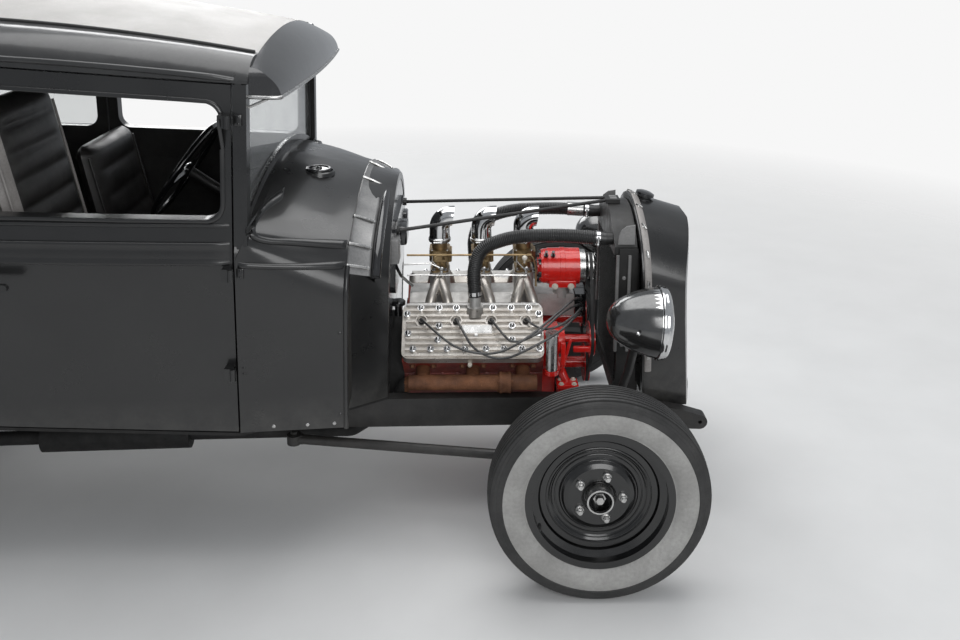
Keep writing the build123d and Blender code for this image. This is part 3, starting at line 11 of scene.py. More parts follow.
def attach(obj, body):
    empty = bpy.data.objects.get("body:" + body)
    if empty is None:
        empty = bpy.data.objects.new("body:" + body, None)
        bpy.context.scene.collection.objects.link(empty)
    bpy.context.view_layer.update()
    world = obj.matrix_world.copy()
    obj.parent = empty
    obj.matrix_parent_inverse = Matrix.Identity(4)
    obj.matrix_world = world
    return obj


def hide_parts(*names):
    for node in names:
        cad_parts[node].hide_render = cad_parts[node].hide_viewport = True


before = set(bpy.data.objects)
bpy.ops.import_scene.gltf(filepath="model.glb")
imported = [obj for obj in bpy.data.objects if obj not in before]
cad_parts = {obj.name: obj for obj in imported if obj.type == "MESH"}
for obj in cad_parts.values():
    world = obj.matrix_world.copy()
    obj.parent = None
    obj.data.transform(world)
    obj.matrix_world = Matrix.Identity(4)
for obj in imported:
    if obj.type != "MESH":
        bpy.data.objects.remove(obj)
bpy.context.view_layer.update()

# Two drawing frames with x from the front axle and z from the ground: GROUND stands level, and BODY is tipped
# about the front hub by the car's rake.
FRONT_AXLE = 1.323
WHEELBASE = 2.629
HUB = 0.329
REAR_HUB = 0.372
RAKE = radians(2)
GROUND = Matrix.Translation((FRONT_AXLE, 0, 0))
BODY = (GROUND @ Matrix.Translation((0, 0, HUB)) @ Matrix.Rotation(RAKE, 4, "Y")
        @ Matrix.Translation((0, 0, -HUB)))
SIDES = ((-1, "right"), (1, "left"))
X, Z = Vector((1, 0, 0)), Vector((0, 0, 1))


# ---- camera and light

# In pixels: the photograph's frame, the row that the camera's axis meets, the fitted focal length
FRAME_WIDTH, FRAME_HEIGHT, AXIS_ROW, FOCAL = 960, 640, 156, 944
SENSOR = 36
CAMERA_PLACE = (FRONT_AXLE - 0.370, -3.201, 1.932)
CAMERA_DIP, CAMERA_TURN = 13.12, -0.47
camera = bpy.data.objects.new("camera", bpy.data.cameras.new("camera"))
bpy.context.scene.collection.objects.link(camera)
camera.location = CAMERA_PLACE
camera.rotation_euler = (radians(90 - CAMERA_DIP), 0, radians(CAMERA_TURN))
camera.data.sensor_width = SENSOR
camera.data.lens = FOCAL / FRAME_WIDTH * SENSOR
camera.data.shift_y = -(FRAME_HEIGHT / 2 - AXIS_ROW) / FRAME_WIDTH
camera.data.clip_end = 100
bpy.context.scene.camera = camera
bpy.context.scene.view_settings.view_transform = "Standard"


def lamp(name, place, aim, size, power):
    """A soft square lamp pointed at a place."""
    data = bpy.data.lights.new(name, "AREA")
    data.size = size
    data.energy = power
    obj = bpy.data.objects.new(name, data)
    obj.location = place
    obj.rotation_euler = (Vector(aim) - Vector(place)).to_track_quat("-Z", "Y").to_euler()
    bpy.context.scene.collection.objects.link(obj)


lamp("overhead", (0.6, 0.5, 5.2), (0.4, 0.0, 0.6), 5.0, 210)
lamp("side", (2.2, -5.4, 3.0), (0.7, 0.0, 0.6), 3.2, 120)
lamp("far_rim", (-1.5, 5.0, 3.4), (0.4, 0.0, 0.9), 3.0, 110)

world = bpy.data.worlds.new("studio")
bpy.context.scene.world = world
world.use_nodes = True
tree = world.node_tree
tree.nodes.clear()
out = tree.nodes.new("ShaderNodeOutputWorld")
mix = tree.nodes.new("ShaderNodeMixShader")
soft = tree.nodes.new("ShaderNodeBackground")
seen = tree.nodes.new("ShaderNodeBackground")
rays = tree.nodes.new("ShaderNodeLightPath")
either = tree.nodes.new("ShaderNodeMath")
either.operation = "MAXIMUM"
soft.inputs["Color"].default_value = (0.86, 0.9, 0.95, 1)
soft.inputs["Strength"].default_value = 0.42
seen.inputs["Color"].default_value = (0.93, 0.93, 0.93, 1)
tree.links.new(rays.outputs["Is Camera Ray"], either.inputs[0])
tree.links.new(rays.outputs["Is Transmission Ray"], either.inputs[1])
tree.links.new(either.outputs[0], mix.inputs["Fac"])
tree.links.new(soft.outputs[0], mix.inputs[1])
tree.links.new(seen.outputs[0], mix.inputs[2])
tree.links.new(mix.outputs[0], out.inputs["Surface"])


# ---- materials

def rgb(shade):
    """A colour given as three values, or as one for a neutral grey."""
    return shade if isinstance(shade, tuple) else (shade,) * 3


def blank(name):
    """A new material, its node tree, its shader and the object's own coordinates."""
    material = bpy.data.materials.new(name)
    material.use_nodes = True
    tree = material.node_tree
    coords = tree.nodes.new("ShaderNodeTexCoord").outputs["Object"]
    return material, tree, tree.nodes["Principled BSDF"], coords


def ramp(tree, source, stops):
    """A colour ramp fed by a socket; stops are (position, colour)."""
    node = tree.nodes.new("ShaderNodeValToRGB")
    elements = node.color_ramp.elements
    while len(elements) < len(stops):
        elements.new(0.5)
    for element, (at, colour) in zip(elements, stops):
        element.position = at
        element.color = (*rgb(colour), 1)
    tree.links.new(source, node.inputs["Fac"])
    return node.outputs["Color"]


def noise(tree, coords, scale, detail=4.0, rough=0.55, stretch=None):
    """Noise over the object's own coordinates, perhaps stretched along an axis."""
    if stretch:
        mapping = tree.nodes.new("ShaderNodeMapping")
        mapping.inputs["Scale"].default_value = stretch
        tree.links.new(coords, mapping.inputs["Vector"])
        coords = mapping.outputs["Vector"]
    node = tree.nodes.new("ShaderNodeTexNoise")
    node.inputs["Scale"].default_value = scale
    node.inputs["Detail"].default_value = detail
    node.inputs["Roughness"].default_value = rough
    tree.links.new(coords, node.inputs["Vector"])
    return node.outputs["Fac"]


def span(tree, source, low, high, to_low=0.0, to_high=1.0):
    """A socket mapped from one range onto another."""
    node = tree.nodes.new("ShaderNodeMapRange")
    for name, value in (("From Min", low), ("From Max", high), ("To Min", to_low), ("To Max", to_high)):
        node.inputs[name].default_value = value
    tree.links.new(source, node.inputs["Value"])
    return node.outputs["Result"]


def times(tree, a, b):
    """The product of two sockets."""
    node = tree.nodes.new("ShaderNodeMath")
    node.operation = "MULTIPLY"
    tree.links.new(a, node.inputs[0])
    tree.links.new(b, node.inputs[1])
    return node.outputs[0]


def blend_colour(tree, factor, a, b):
    """The socket a where the factor is 0 and the colour b where it is 1."""
    node = tree.nodes.new("ShaderNodeMix")
    node.data_type = "RGBA"
    tree.links.new(factor, node.inputs["Factor"])
    tree.links.new(a, node.inputs["A"])
    node.inputs["B"].default_value = (*rgb(b), 1)
    return node.outputs["Result"]


def finish(
    name, dark, light, rough, metal=0.0, patch=7.0, grain=160.0, pits=0.12, pit_scale=420.0, coat=0.0,
    dust=None, chips=None, stretch=None, sheen=0.0,
):
    """A worn finish: two shades in patches, fine grain, uneven gloss and small pits.

    rough is (least, most); dust is (low z, high z, colour, share); chips is (colour, share).
    """
    material, tree, shader, coords = blank(name)
    patches = noise(tree, coords, patch, 5.0, 0.6, stretch)
    colour = ramp(tree, patches, ((0.32, dark), (0.68, light)))
    fine = noise(tree, coords, grain, 3.0, 0.6, stretch)
    colour = blend_colour(tree, span(tree, fine, 0.35, 0.75, 0.0, 0.45), colour,
                          tuple(0.72 * c for c in rgb(dark)))
    if chips:
        flakes = noise(tree, coords, 38.0, 8.0, 0.72)
        share = span(tree, flakes, 0.74 - chips[1], 0.76 - chips[1])
        colour = blend_colour(tree, share, colour, chips[0])
    if dust:
        low, high, shade, most = dust
        split = tree.nodes.new("ShaderNodeSeparateXYZ")
        tree.links.new(coords, split.inputs[0])
        fall = span(tree, split.outputs["Z"], high, low, 0.0, most)
        spread = span(tree, noise(tree, coords, 14.0, 6.0, 0.7), 0.3, 0.65)
        colour = blend_colour(tree, times(tree, fall, spread), colour, shade)
    tree.links.new(colour, shader.inputs["Base Color"])
    smears = noise(tree, coords, patch * 2.3, 5.0, 0.62, stretch)
    tree.links.new(span(tree, smears, 0.3, 0.7, rough[0], rough[1]), shader.inputs["Roughness"])
    bump = tree.nodes.new("ShaderNodeBump")
    bump.inputs["Strength"].default_value = pits
    bump.inputs["Distance"].default_value = 0.001
    tree.links.new(noise(tree, coords, pit_scale, 3.0), bump.inputs["Height"])
    tree.links.new(bump.outputs["Normal"], shader.inputs["Normal"])
    shader.inputs["Metallic"].default_value = metal
    shader.inputs["Coat Weight"].default_value = coat
    shader.inputs["Coat Roughness"].default_value = 0.12
    shader.inputs["Sheen Weight"].default_value = sheen
    return material


DUST = (0.12, 0.115, 0.105)
enamel = finish("body_enamel", (0.0075, 0.0075, 0.0078), 0.014, (0.24, 0.40), patch=2.6, pits=0.05, coat=0.45,
                dust=(0.42, 0.58, DUST, 0.40), chips=((0.10, 0.097, 0.092), 0.012))
roof_enamel = finish("roof_enamel", (0.020, 0.020, 0.0205), 0.034, (0.26, 0.42), patch=3.0, pits=0.05,
                     coat=0.4)
top_cloth = finish("top_insert", (0.34, 0.33, 0.315), (0.47, 0.455, 0.44), (0.45, 0.62), patch=3.4,
                   grain=420.0, pits=0.35, pit_scale=900.0)
chassis_black = finish("chassis_black", 0.010, (0.022, 0.021, 0.020), (0.35, 0.6), patch=12.0, pits=0.2,
                       dust=(0.15, 0.5, (0.06, 0.055, 0.05), 0.7))
gloss_black = finish("gloss_black", (0.006, 0.006, 0.007), (0.012, 0.012, 0.013), (0.10, 0.24), patch=8.0,
                     pits=0.03, coat=0.6)
wheel_black = finish("wheel_black", (0.003, 0.003, 0.0032), 0.007, (0.14, 0.28), patch=9.0, pits=0.06,
                     coat=0.5, chips=(0.05, 0.01))
# Black for the floor pan and other dark parts, and painted shade on the engine block's rear end.
under_black_and_painted_shade = finish("under_black_and_painted_shade", 0.005, (0.014, 0.013, 0.012), (0.6, 0.85), patch=10.0, pits=0.3)
under_dark = finish("under_dark", (0.018, 0.017, 0.016), (0.05, 0.046, 0.04), (0.5, 0.8), patch=10.0,
                    pits=0.3)
block_red = finish("block_red", (0.16, 0.018, 0.012), (0.34, 0.04, 0.02), (0.34, 0.6), patch=16.0, pits=0.35,
                   chips=((0.10, 0.04, 0.025), 0.05), dust=(0.3, 0.55, (0.05, 0.03, 0.025), 0.7))
bright_red = finish("bright_red", (0.56, 0.012, 0.009), (0.74, 0.022, 0.015), (0.16, 0.3), patch=14.0,
                    pits=0.08, coat=0.5, chips=((0.35, 0.06, 0.05), 0.0))
head_alloy = finish("head_alloy", (0.40, 0.37, 0.335), (0.62, 0.59, 0.55), (0.24, 0.42), metal=0.75,
                    patch=18.0, pits=0.2, pit_scale=600.0)
cast_alloy = finish("cast_alloy", (0.42, 0.41, 0.395), (0.66, 0.65, 0.63), (0.34, 0.55), metal=0.7,
                    patch=20.0, pits=0.45, pit_scale=700.0)
brassy = finish("brassy", (0.22, 0.15, 0.075), (0.42, 0.31, 0.17), (0.3, 0.5), metal=0.8, patch=26.0,
                pits=0.3)
chrome = finish("chrome", 0.62, 0.78, (0.06, 0.16), metal=1.0, patch=12.0, pits=0.02)
steel = finish("bright_steel", (0.45, 0.45, 0.44), (0.68, 0.67, 0.66), (0.2, 0.38), metal=1.0, patch=30.0,
               pits=0.15)
rust = finish("rusty_iron", (0.085, 0.032, 0.014), (0.24, 0.10, 0.045), (0.6, 0.85), metal=0.15, patch=18.0,
              grain=260.0, pits=0.6, pit_scale=500.0, chips=((0.30, 0.15, 0.07), 0.08))
rubber = finish("black_rubber", 0.012, 0.026, (0.5, 0.72), patch=14.0, pits=0.2)
tread_rubber = finish("tyre_rubber", 0.022, (0.045, 0.044, 0.043), (0.55, 0.8), patch=9.0, pits=0.25,
                      pit_scale=300.0)
white_band = finish("tyre_white_band", (0.26, 0.255, 0.245), (0.40, 0.395, 0.38), (0.5, 0.7), patch=6.0,
                    grain=90.0, pits=0.15, chips=((0.17, 0.165, 0.155), 0.03))
hide = finish("dark_hide", (0.014, 0.013, 0.013), (0.032, 0.030, 0.029), (0.34, 0.5), patch=9.0, pits=0.5,
              pit_scale=380.0)
pale_hide = finish("pale_hide", (0.24, 0.225, 0.215), (0.36, 0.34, 0.325), (0.4, 0.55), patch=9.0, pits=0.5,
                   pit_scale=380.0)
cabin_cloth = finish("cabin_cloth", (0.012, 0.0115, 0.011), (0.024, 0.023, 0.022), (0.7, 0.9), patch=12.0,
                     grain=500.0, pits=0.5, pit_scale=900.0, sheen=0.3)
visor_sheet = finish("visor_sheet", (0.030, 0.030, 0.031), (0.055, 0.055, 0.056), (0.08, 0.18), metal=0.4,
                     patch=4.0, pits=0.03, coat=0.8)
lamp_shell = finish("lamp_shell", 0.10, (0.17, 0.17, 0.168), (0.10, 0.22), metal=0.85, patch=8.0, pits=0.05,
                    coat=0.4)
band_metal = finish("band_metal", 0.20, (0.34, 0.335, 0.33), (0.30, 0.48), metal=0.6, patch=8.0, pits=0.1)
hose_rubber = finish("hose_rubber", 0.014, 0.030, (0.24, 0.42), patch=14.0, pits=0.1)
lead_cover = finish("lead_cover", (0.030, 0.030, 0.031), (0.065, 0.064, 0.063), (0.22, 0.36), patch=30.0,
                    pits=0.05, coat=0.3)
cream = finish("cream_metal", (0.58, 0.54, 0.46), (0.72, 0.68, 0.60), (0.3, 0.5), patch=30.0, pits=0.1)
regulator_grey = finish("regulator_grey", 0.16, (0.26, 0.255, 0.25), (0.35, 0.5), patch=14.0, pits=0.1)
core_dark = finish("radiator_core", 0.012, (0.03, 0.029, 0.027), (0.45, 0.7), metal=0.4, patch=20.0, pits=0.8,
                   pit_scale=240.0, stretch=(1.0, 1.0, 8.0))
lens_face = finish("lamp_lens", 0.30, (0.52, 0.52, 0.51), (0.06, 0.14), metal=0.35, patch=10.0, pits=0.5,
                   pit_scale=60.0, coat=1.0, stretch=(1.0, 5.0, 0.4))
lamp_red = finish("lamp_red", (0.30, 0.006, 0.005), (0.42, 0.010, 0.008), (0.05, 0.12), patch=20.0, pits=0.05,
                  coat=0.8)

TINT = (0.82, 0.84, 0.84)
pane_glass, tree, shader, coords = blank("pane_glass")
smears = noise(tree, coords, 9.0, 6.0, 0.65)
tree.links.new(ramp(tree, smears, ((0.3, TINT), (0.8, tuple(0.92 * c for c in TINT)))),
               shader.inputs["Base Color"])
tree.links.new(span(tree, smears, 0.4, 0.8, 0.02, 0.08), shader.inputs["Roughness"])
shader.inputs["Transmission Weight"].default_value = 0.94
shader.inputs["IOR"].default_value = 1.45

# The floor fades out with distance, between FADE's two reaches
FADE = (2.6, 6.5)
floor_material, tree, shader, coords = blank("studio_floor")
tree.links.new(ramp(tree, noise(tree, coords, 3.0), ((0.3, (0.66, 0.66, 0.655)), (0.7, (0.7, 0.7, 0.695)))),
               shader.inputs["Base Color"])
shader.inputs["Roughness"].default_value = 0.75
distance = tree.nodes.new("ShaderNodeVectorMath")
distance.operation = "LENGTH"
tree.links.new(coords, distance.inputs[0])
fade = tree.nodes.new("ShaderNodeMixShader")
tree.links.new(span(tree, distance.outputs["Value"], *FADE), fade.inputs["Fac"])
tree.links.new(shader.outputs["BSDF"], fade.inputs[1])
tree.links.new(tree.nodes.new("ShaderNodeBsdfTransparent").outputs["BSDF"], fade.inputs[2])
tree.links.new(fade.outputs["Shader"], tree.nodes["Material Output"].inputs["Surface"])


# ---- mesh tools

def across(axis):
    """Two unit vectors square to an axis and to each other."""
    axis = Vector(axis).normalized()
    first = axis.cross(Z if abs(axis.z) < 0.9 else X).normalized()
    return first, axis.cross(first).normalized()


def curve_through(points, steps=6):
    """Points of a smooth line through the given ones."""
    points = [Vector(p) for p in points]
    ends = [points[0], *points, points[-1]]
    line = []
    for a, b, c, d in zip(ends, ends[1:], ends[2:], ends[3:]):
        for t in (s / steps for s in range(steps)):
            line.append(0.5 * ((2 * b) + (c - a) * t + (2 * a - 5 * b + 4 * c - d) * t * t
                               + (3 * b - a - 3 * c + d) * t * t * t))
    return line + [points[-1]]


def hoop(radius, width, step=0.002):
    """The profile of a flat band with softened edges."""
    return ((0, radius - step), (0.001, radius), (width - 0.001, radius), (width, radius - step))


class Shape:
    """The faces of one piece, drawn in one of the frames and handed over as an object at the end."""

    def __init__(self, place=GROUND):
        self.mesh = bmesh.new()
        self.place = place
        self.slot = 0

    def skin(self, rings, sheet=False, cap=True, loop=False):
        """Faces between rings of points, or between open lines for a sheet; a ring of one point is a tip."""
        made = [[self.mesh.verts.new(p) for p in ring] for ring in rings]
        pairs = list(zip(made, made[1:])) + ([(made[-1], made[0])] if loop else [])
        for a, b in pairs:
            count = max(len(a), len(b))
            for i in range(count - 1 if sheet else count):
                j = (i + 1) % count
                corners = [a[i % len(a)], a[j % len(a)], b[j % len(b)], b[i % len(b)]]
                corners = [v for k, v in enumerate(corners) if v not in corners[:k]]
                if len(corners) > 2:
                    self.mesh.faces.new(corners).material_index = self.slot
        if cap and not sheet and not loop:
            for ring, turn in ((made[0], -1), (made[-1], 1)):
                if len(ring) > 2:
                    self.mesh.faces.new(ring[::turn]).material_index = self.slot
        return self

    def lathe(self, origin, axis, profile, sides=32, cap=True):
        """Turns (distance along the axis, radius) points about it."""
        origin, axis = Vector(origin), Vector(axis).normalized()
        u, v = across(axis)
        rings = []
        for along, radius in profile:
            centre = origin + axis * along
            if radius < 1e-6:
                rings.append([centre])
            else:
                turns = [tau * k / sides for k in range(sides)]
                rings.append([centre + u * radius * cos(t) + v * radius * sin(t) for t in turns])
        return self.skin(rings, cap=cap)

    def tube(self, path, radius, sides=10, loop=False):
        """A round bar along a line; radius is a number or one for each point."""
        path = [Vector(p) for p in path]
        count = len(path)
        radii = radius if isinstance(radius, (list, tuple)) else [radius] * count
        rings = []
        u = None
        for i, p in enumerate(path):
            if loop:
                along = (path[(i + 1) % count] - path[i - 1]).normalized()
            else:
                along = (path[min(i + 1, count - 1)] - path[max(i - 1, 0)]).normalized()
            u = across(along)[0] if u is None else (u - along * u.dot(along)).normalized()
            v = along.cross(u)
            turns = [tau * k / sides for k in range(sides)]
            rings.append([p + (u * cos(t) + v * sin(t)) * radii[i] for t in turns])
        return self.skin(rings, loop=loop)

    def block(self, centre, size, turn=None, bevel=0.0):
        """A box with softened edges."""
        matrix = Matrix.Translation(centre) @ (turn.to_4x4() if turn else Matrix.Identity(4))
        made = bmesh.ops.create_cube(self.mesh, size=1.0)["verts"]
        for vert in made:
            vert.co = matrix @ Vector((vert.co.x * size[0], vert.co.y * size[1], vert.co.z * size[2]))
        faces = list(dict.fromkeys(f for vert in made for f in vert.link_faces))
        for face in faces:
            face.material_index = self.slot
        if bevel:
            edges = list(dict.fromkeys(e for f in faces for e in f.edges))
            bmesh.ops.bevel(self.mesh, geom=edges, offset=bevel, segments=2, affect="EDGES", profile=0.5,
                            material=self.slot)
        return self

    def plate(self, outline, depth, bevel=0.0):
        """A flat plate: an outline of points, thickened along a vector."""
        depth = Vector(depth)
        first = [Vector(p) for p in outline]
        middle = sum(first, Vector()) / len(first)
        if not bevel:
            return self.skin([first, [p + depth for p in first]])
        inner = [p + (middle - p).normalized() * bevel for p in first]
        edge = depth.normalized() * bevel
        return self.skin([inner, [p + edge for p in first], [p + depth - edge for p in first],
                          [p + depth for p in inner]])

    def bolt(self, at, axis, radius, height, kind="hex"):
        """A fastener's head standing on a surface."""
        at = Vector(at) - Vector(axis).normalized() * 0.0006
        if kind == "hex":
            self.lathe(at, axis, ((0, radius * 1.35), (height * 0.18, radius * 1.35)), 16)
            self.lathe(at, axis, ((0, radius), (height * 0.85, radius), (height, radius * 0.82)), 6)
        elif kind == "acorn":
            self.lathe(at, axis, ((0, radius * 1.3), (height * 0.14, radius * 1.3)), 16)
            self.lathe(at, axis, ((0, radius), (height * 0.42, radius), (height * 0.48, radius * 0.86),
                                  (height * 0.78, radius * 0.66), (height * 0.96, radius * 0.3), (height, 0)),
                       12)
        elif kind == "rivet":
            self.lathe(at, axis, ((0, radius), (height * 0.5, radius * 0.88), (height * 0.85, radius * 0.5),
                                  (height, 0)), 12)
        else:
            self.lathe(at, axis, ((0, radius), (height * 0.7, radius), (height, radius * 0.8)), 14)
        return self

    def give(self, name, materials, body="chassis", crease=38, slot=None):
        """Makes the object, which rides on a body."""
        bmesh.ops.transform(self.mesh, matrix=self.place, verts=self.mesh.verts)
        bmesh.ops.recalc_face_normals(self.mesh, faces=self.mesh.faces)
        data = bpy.data.meshes.new(name)
        self.mesh.to_mesh(data)
        self.mesh.free()
        for material in materials if isinstance(materials, (list, tuple)) else [materials]:
            data.materials.append(material)
        data.polygons.foreach_set("use_smooth", [True] * len(data.polygons))
        data.set_sharp_from_angle(angle=radians(crease))
        obj = bpy.data.objects.new(name, data)
        bpy.context.scene.collection.objects.link(obj)
        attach(obj, body)
        return obj


trees = {}


def hit(nodes, origin, direction, place=BODY):
    """The first point, and the normal, where a ray in a drawing frame meets one of some nodes."""
    back = place.inverted()
    start, way = place @ Vector(origin), (place.to_3x3() @ Vector(direction)).normalized()
    best = None
    for node in nodes:
        if node not in trees:
            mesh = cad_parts[node].data
            trees[node] = BVHTree.FromPolygons([v.co for v in mesh.vertices],
                                               [p.vertices for p in mesh.polygons])
        point, normal, _, distance = trees[node].ray_cast(start, way)
        if point is not None and (best is None or distance < best[2]):
            best = (back @ point, (back.to_3x3() @ normal).normalized(), distance)
    return best


def from_side(nodes, x, z, side, place=BODY):
    """What a line from one side of the car, at x and z, first meets."""
    return hit(nodes, (x, side * 2, z), (0, -side, 0), place)


def side_bolts(shape, node, places, side, radius, height, kind="hex", place=GROUND):
    """Fasteners on the side of a node, at (x, z) places."""
    for x, z in places:
        found = from_side((node,), x, z, side, place)
        if found:
            shape.bolt(found[0], found[1], radius, height, kind)


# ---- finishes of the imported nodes

for material, nodes in (
    (enamel, "rear_body cowl door_left door_right dashboard radiator_shell"),
    (roof_enamel, "roof"),
    (top_cloth, "roof_insert"),
    (visor_sheet, "visor"),
    (pane_glass, "fixed_glass"),
    (under_black_and_painted_shade, "floor"),
    (gloss_black, "firewall fuel_cap steering_wheel"),
    (chassis_black, "frame front_axle rear_axle suspension knuckle_left knuckle_right tie_rod"),
    (chassis_black, "steering_column radiator radiator_rods"),
    (under_dark, "transmission"),
    (block_red, "engine_block"),
    (head_alloy, "cylinder_heads"),
    (cast_alloy, "intake_manifold"),
    (brassy, "carburettors"),
    (chrome, "air_scoops"),
    (bright_red, "generator front_drive"),
    (rust, "exhaust_manifolds"),
    (rubber, "radiator_hoses plug_leads"),
    (lamp_shell, "lamps"),
    (hide, "seats"),
    (tread_rubber, "tyre_front_left tyre_front_right tyre_rear_left tyre_rear_right"),
    (wheel_black, "wheel_front_left wheel_front_right wheel_rear_left wheel_rear_right"),
):
    for node in nodes.split():
        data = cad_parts[node].data
        data.materials.clear()
        data.materials.append(material)
        data.polygons.foreach_set("use_smooth", [True] * len(data.polygons))
        data.set_sharp_from_angle(angle=radians(32))


# ---- tyres and road wheels

RIM = 0.2205
CORNERS = (
    # corner, hub x, hub height, tyre radius, tyre width
    ("front", 0.0, HUB, 0.3288, 0.1347),
    ("rear", -WHEELBASE, REAR_HUB, 0.3718, 0.1648),
)
TRACK = 0.711
VALVE_TURN = 0.4
NUT_CIRCLE = 0.1397


def tyre(word, hub, side, radius, width, body):
    """A ribbed bias-ply tyre with a wide pale band on its outer side."""
    half, wall = width / 2, radius - RIM
    band = RIM + 0.60 * wall
    shape = Shape()
    axis = (0, side, 0)
    sidewall = [(0.36 * width + 0.003, RIM - 0.014), (0.36 * width + 0.0035, RIM + 0.003)]
    outer = sidewall + [(0.88 * half, RIM + 0.10 * wall), (0.965 * half, RIM + 0.24 * wall),
                        (0.998 * half, RIM + 0.40 * wall), (0.985 * half, RIM + 0.52 * wall),
                        (0.955 * half, band)]
    shoulder = [(0.958 * half, band + 0.0006), (0.956 * half + 0.0016, band + 0.003),
                (0.945 * half + 0.0005, band + 0.0062), (0.90 * half, band + 0.16 * wall),
                (0.885 * half, band + 0.165 * wall), (0.88 * half, band + 0.19 * wall),
                (0.86 * half, band + 0.25 * wall), (0.835 * half, band + 0.255 * wall),
                (0.825 * half, band + 0.28 * wall), (0.78 * half, radius - 0.0075)]
    tread = []
    ribs, land, deep = 7, 0.70 * half, 0.0065
    pitch = 2 * land / ribs
    for k in range(ribs):
        a = land - k * pitch
        b = a - pitch * 0.68
        crown = [radius - 0.0042 * (y / land) ** 2 for y in (a, b)]
        tread += [(a, crown[0] - deep), (a - 0.0006, crown[0]), (b + 0.0006, crown[1]), (b, crown[1] - deep)]
    right = outer + shoulder
    left = [(-a, r) for a, r in reversed(right)]
    shape.slot = 1
    shape.lathe(hub, axis, outer, 96, cap=False)
    shape.slot = 0
    shape.lathe(hub, axis, [outer[-1]] + shoulder + tread + left + [(0, RIM - 0.02)], 96, cap=False)
    u, v = across(axis)
    valve = hub + (u * cos(VALVE_TURN) + v * sin(VALVE_TURN)) * (RIM - 0.030)
    valve += Vector(axis) * (0.36 * width - 0.004)
    shape.slot = 2
    shape.lathe(valve, axis, ((0, 0.0045), (0.018, 0.0042), (0.019, 0.0032), (0.030, 0.0032), (0.031, 0)), 12)
    obj = shape.give("tyre_ribbed_" + word, (tread_rubber, white_band, rubber), body, crease=30,
                     slot="rubber_tyre")
    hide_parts("tyre_" + word)


for place, hub_x, hub_z, tyre_radius, tyre_width in CORNERS:
    for side, hand in SIDES:
        word = place + "_" + hand
        body = "road_wheel_" + word
        hub = Vector((hub_x, side * TRACK, hub_z))
        tyre(word, hub, side, tyre_radius, tyre_width, body)
        nuts = Shape()
        for k in range(5):
            turn = radians(36 + 72 * k)
            away = Vector((side * cos(turn), 0, sin(turn)))
            foot = hub + away * NUT_CIRCLE / 2 + Vector((0, side * 0.0215, 0))
            nuts.slot = 0
            nuts.lathe(foot, (0, side, 0), ((0, 0.0150), (0.003, 0.0146), (0.006, 0.0118)), 20)
            nuts.lathe(foot, (0, side, 0), ((0.004, 0.0108), (0.0148, 0.0108), (0.0165, 0.0092)), 6)
            nuts.lathe(foot, (0, side, 0), ((0.0165, 0.0068), (0.022, 0.0066), (0.0225, 0)), 12)
        nuts.lathe(hub + Vector((0, side * 0.010, 0)), (0, side, 0),
                   ((0, 0.0405), (0.040, 0.0405), (0.0425, 0.039), (0.0425, 0.0345), (0.034, 0.0335)), 40,
                   cap=False)
        nuts.lathe(hub + Vector((0, side * 0.020, 0)), (0, side, 0),
                   ((0, 0.019), (0.012, 0.019), (0.0125, 0.0125), (0.026, 0.0122), (0.0265, 0)), 6)
        nuts.slot = 1
        for radius, lift in ((0.1545, 0.0146), (0.1440, 0.0075), (0.1290, 0.0046), (0.1120, 0.0090)):
            ring = [hub + Vector((radius * cos(t), side * lift, radius * sin(t)))
                    for t in (tau * k / 72 for k in range(72))]
            nuts.tube(ring, 0.0022, 8, loop=True)
        nuts.give("wheel_nuts_" + word, (steel, wheel_black), body, slot="bright_metal")


# ---- mouldings on the body, laid on its surface

def moulding(name, nodes, path, section, body, material, side, closed=False, slot="body_paint"):
    """A strip on the body's side along (x, z) points; its section is (offset across, rise)."""
    shape = Shape(BODY)
    path = [Vector((x, z)) for x, z in path]
    rings = []
    count = len(path)
    for i, p in enumerate(path):
        if closed:
            along = (path[(i + 1) % count] - path[i - 1]).normalized()
        else:
            along = (path[min(i + 1, count - 1)] - path[max(i - 1, 0)]).normalized()
        square = Vector((-along.y, along.x))
        ring = []
        end = not closed and i in (0, count - 1)
        for offset, rise in section:
            q = p + square * offset
            found = from_side(nodes, q.x, q.y, side) or from_side(nodes, p.x, p.y, side)
            if found is None:
                break
            surface = Vector((q.x, found[0].y, q.y))
            ring.append(surface + found[1] * (-0.001 if end else rise))
        if len(ring) == len(section):
            rings.append(ring)
    shape.skin(rings, sheet=True, loop=closed)
    return shape.give(name, material, body, crease=50, slot=slot)


def line_of(start, end, count):
    """Even points of a straight line."""
    return [(start[0] + (end[0] - start[0]) * k / (count - 1),
             start[1] + (end[1] - start[1]) * k / (count - 1)) for k in range(count)]


def rounded(corners, radius, steps=7):
    """A closed outline of (x, z) corners with arcs at them."""
    points = []
    count = len(corners)
    for i in range(count):
        a, b, c = Vector(corners[i - 1]), Vector(corners[i]), Vector(corners[(i + 1) % count])
        u, v = (a - b).normalized(), (c - b).normalized()
        start, end = b + u * radius, b + v * radius
        for k in range(steps + 1):
            t = k / steps
            points.append(tuple((1 - t) ** 2 * start + 2 * t * (1 - t) * b + t * t * end))
        far = (Vector(corners[(i + 1) % count]) - b).length
        gap = far - 2 * radius
        for k in range(1, int(gap / 0.08) + 1):
            q = end + (c - b).normalized() * gap * k / (int(gap / 0.08) + 1)
            points.append(tuple(q))
    return points


BEAD = ((-0.0065, -0.001), (-0.0058, 0.0022), (-0.0036, 0.0048), (0, 0.0060), (0.0036, 0.0048),
        (0.0058, 0.0022), (0.0065, -0.001))
BELT = ((-0.036, -0.001), (-0.0355, 0.004), (-0.033, 0.0078), (-0.029, 0.0090), (-0.024, 0.0078),
        (-0.0205, 0.0056), (-0.012, 0.0066), (0.006, 0.0070), (0.019, 0.0060), (0.0225, 0.0078),
        (0.027, 0.0090), (0.031, 0.0078), (0.0335, 0.004), (0.034, -0.001))

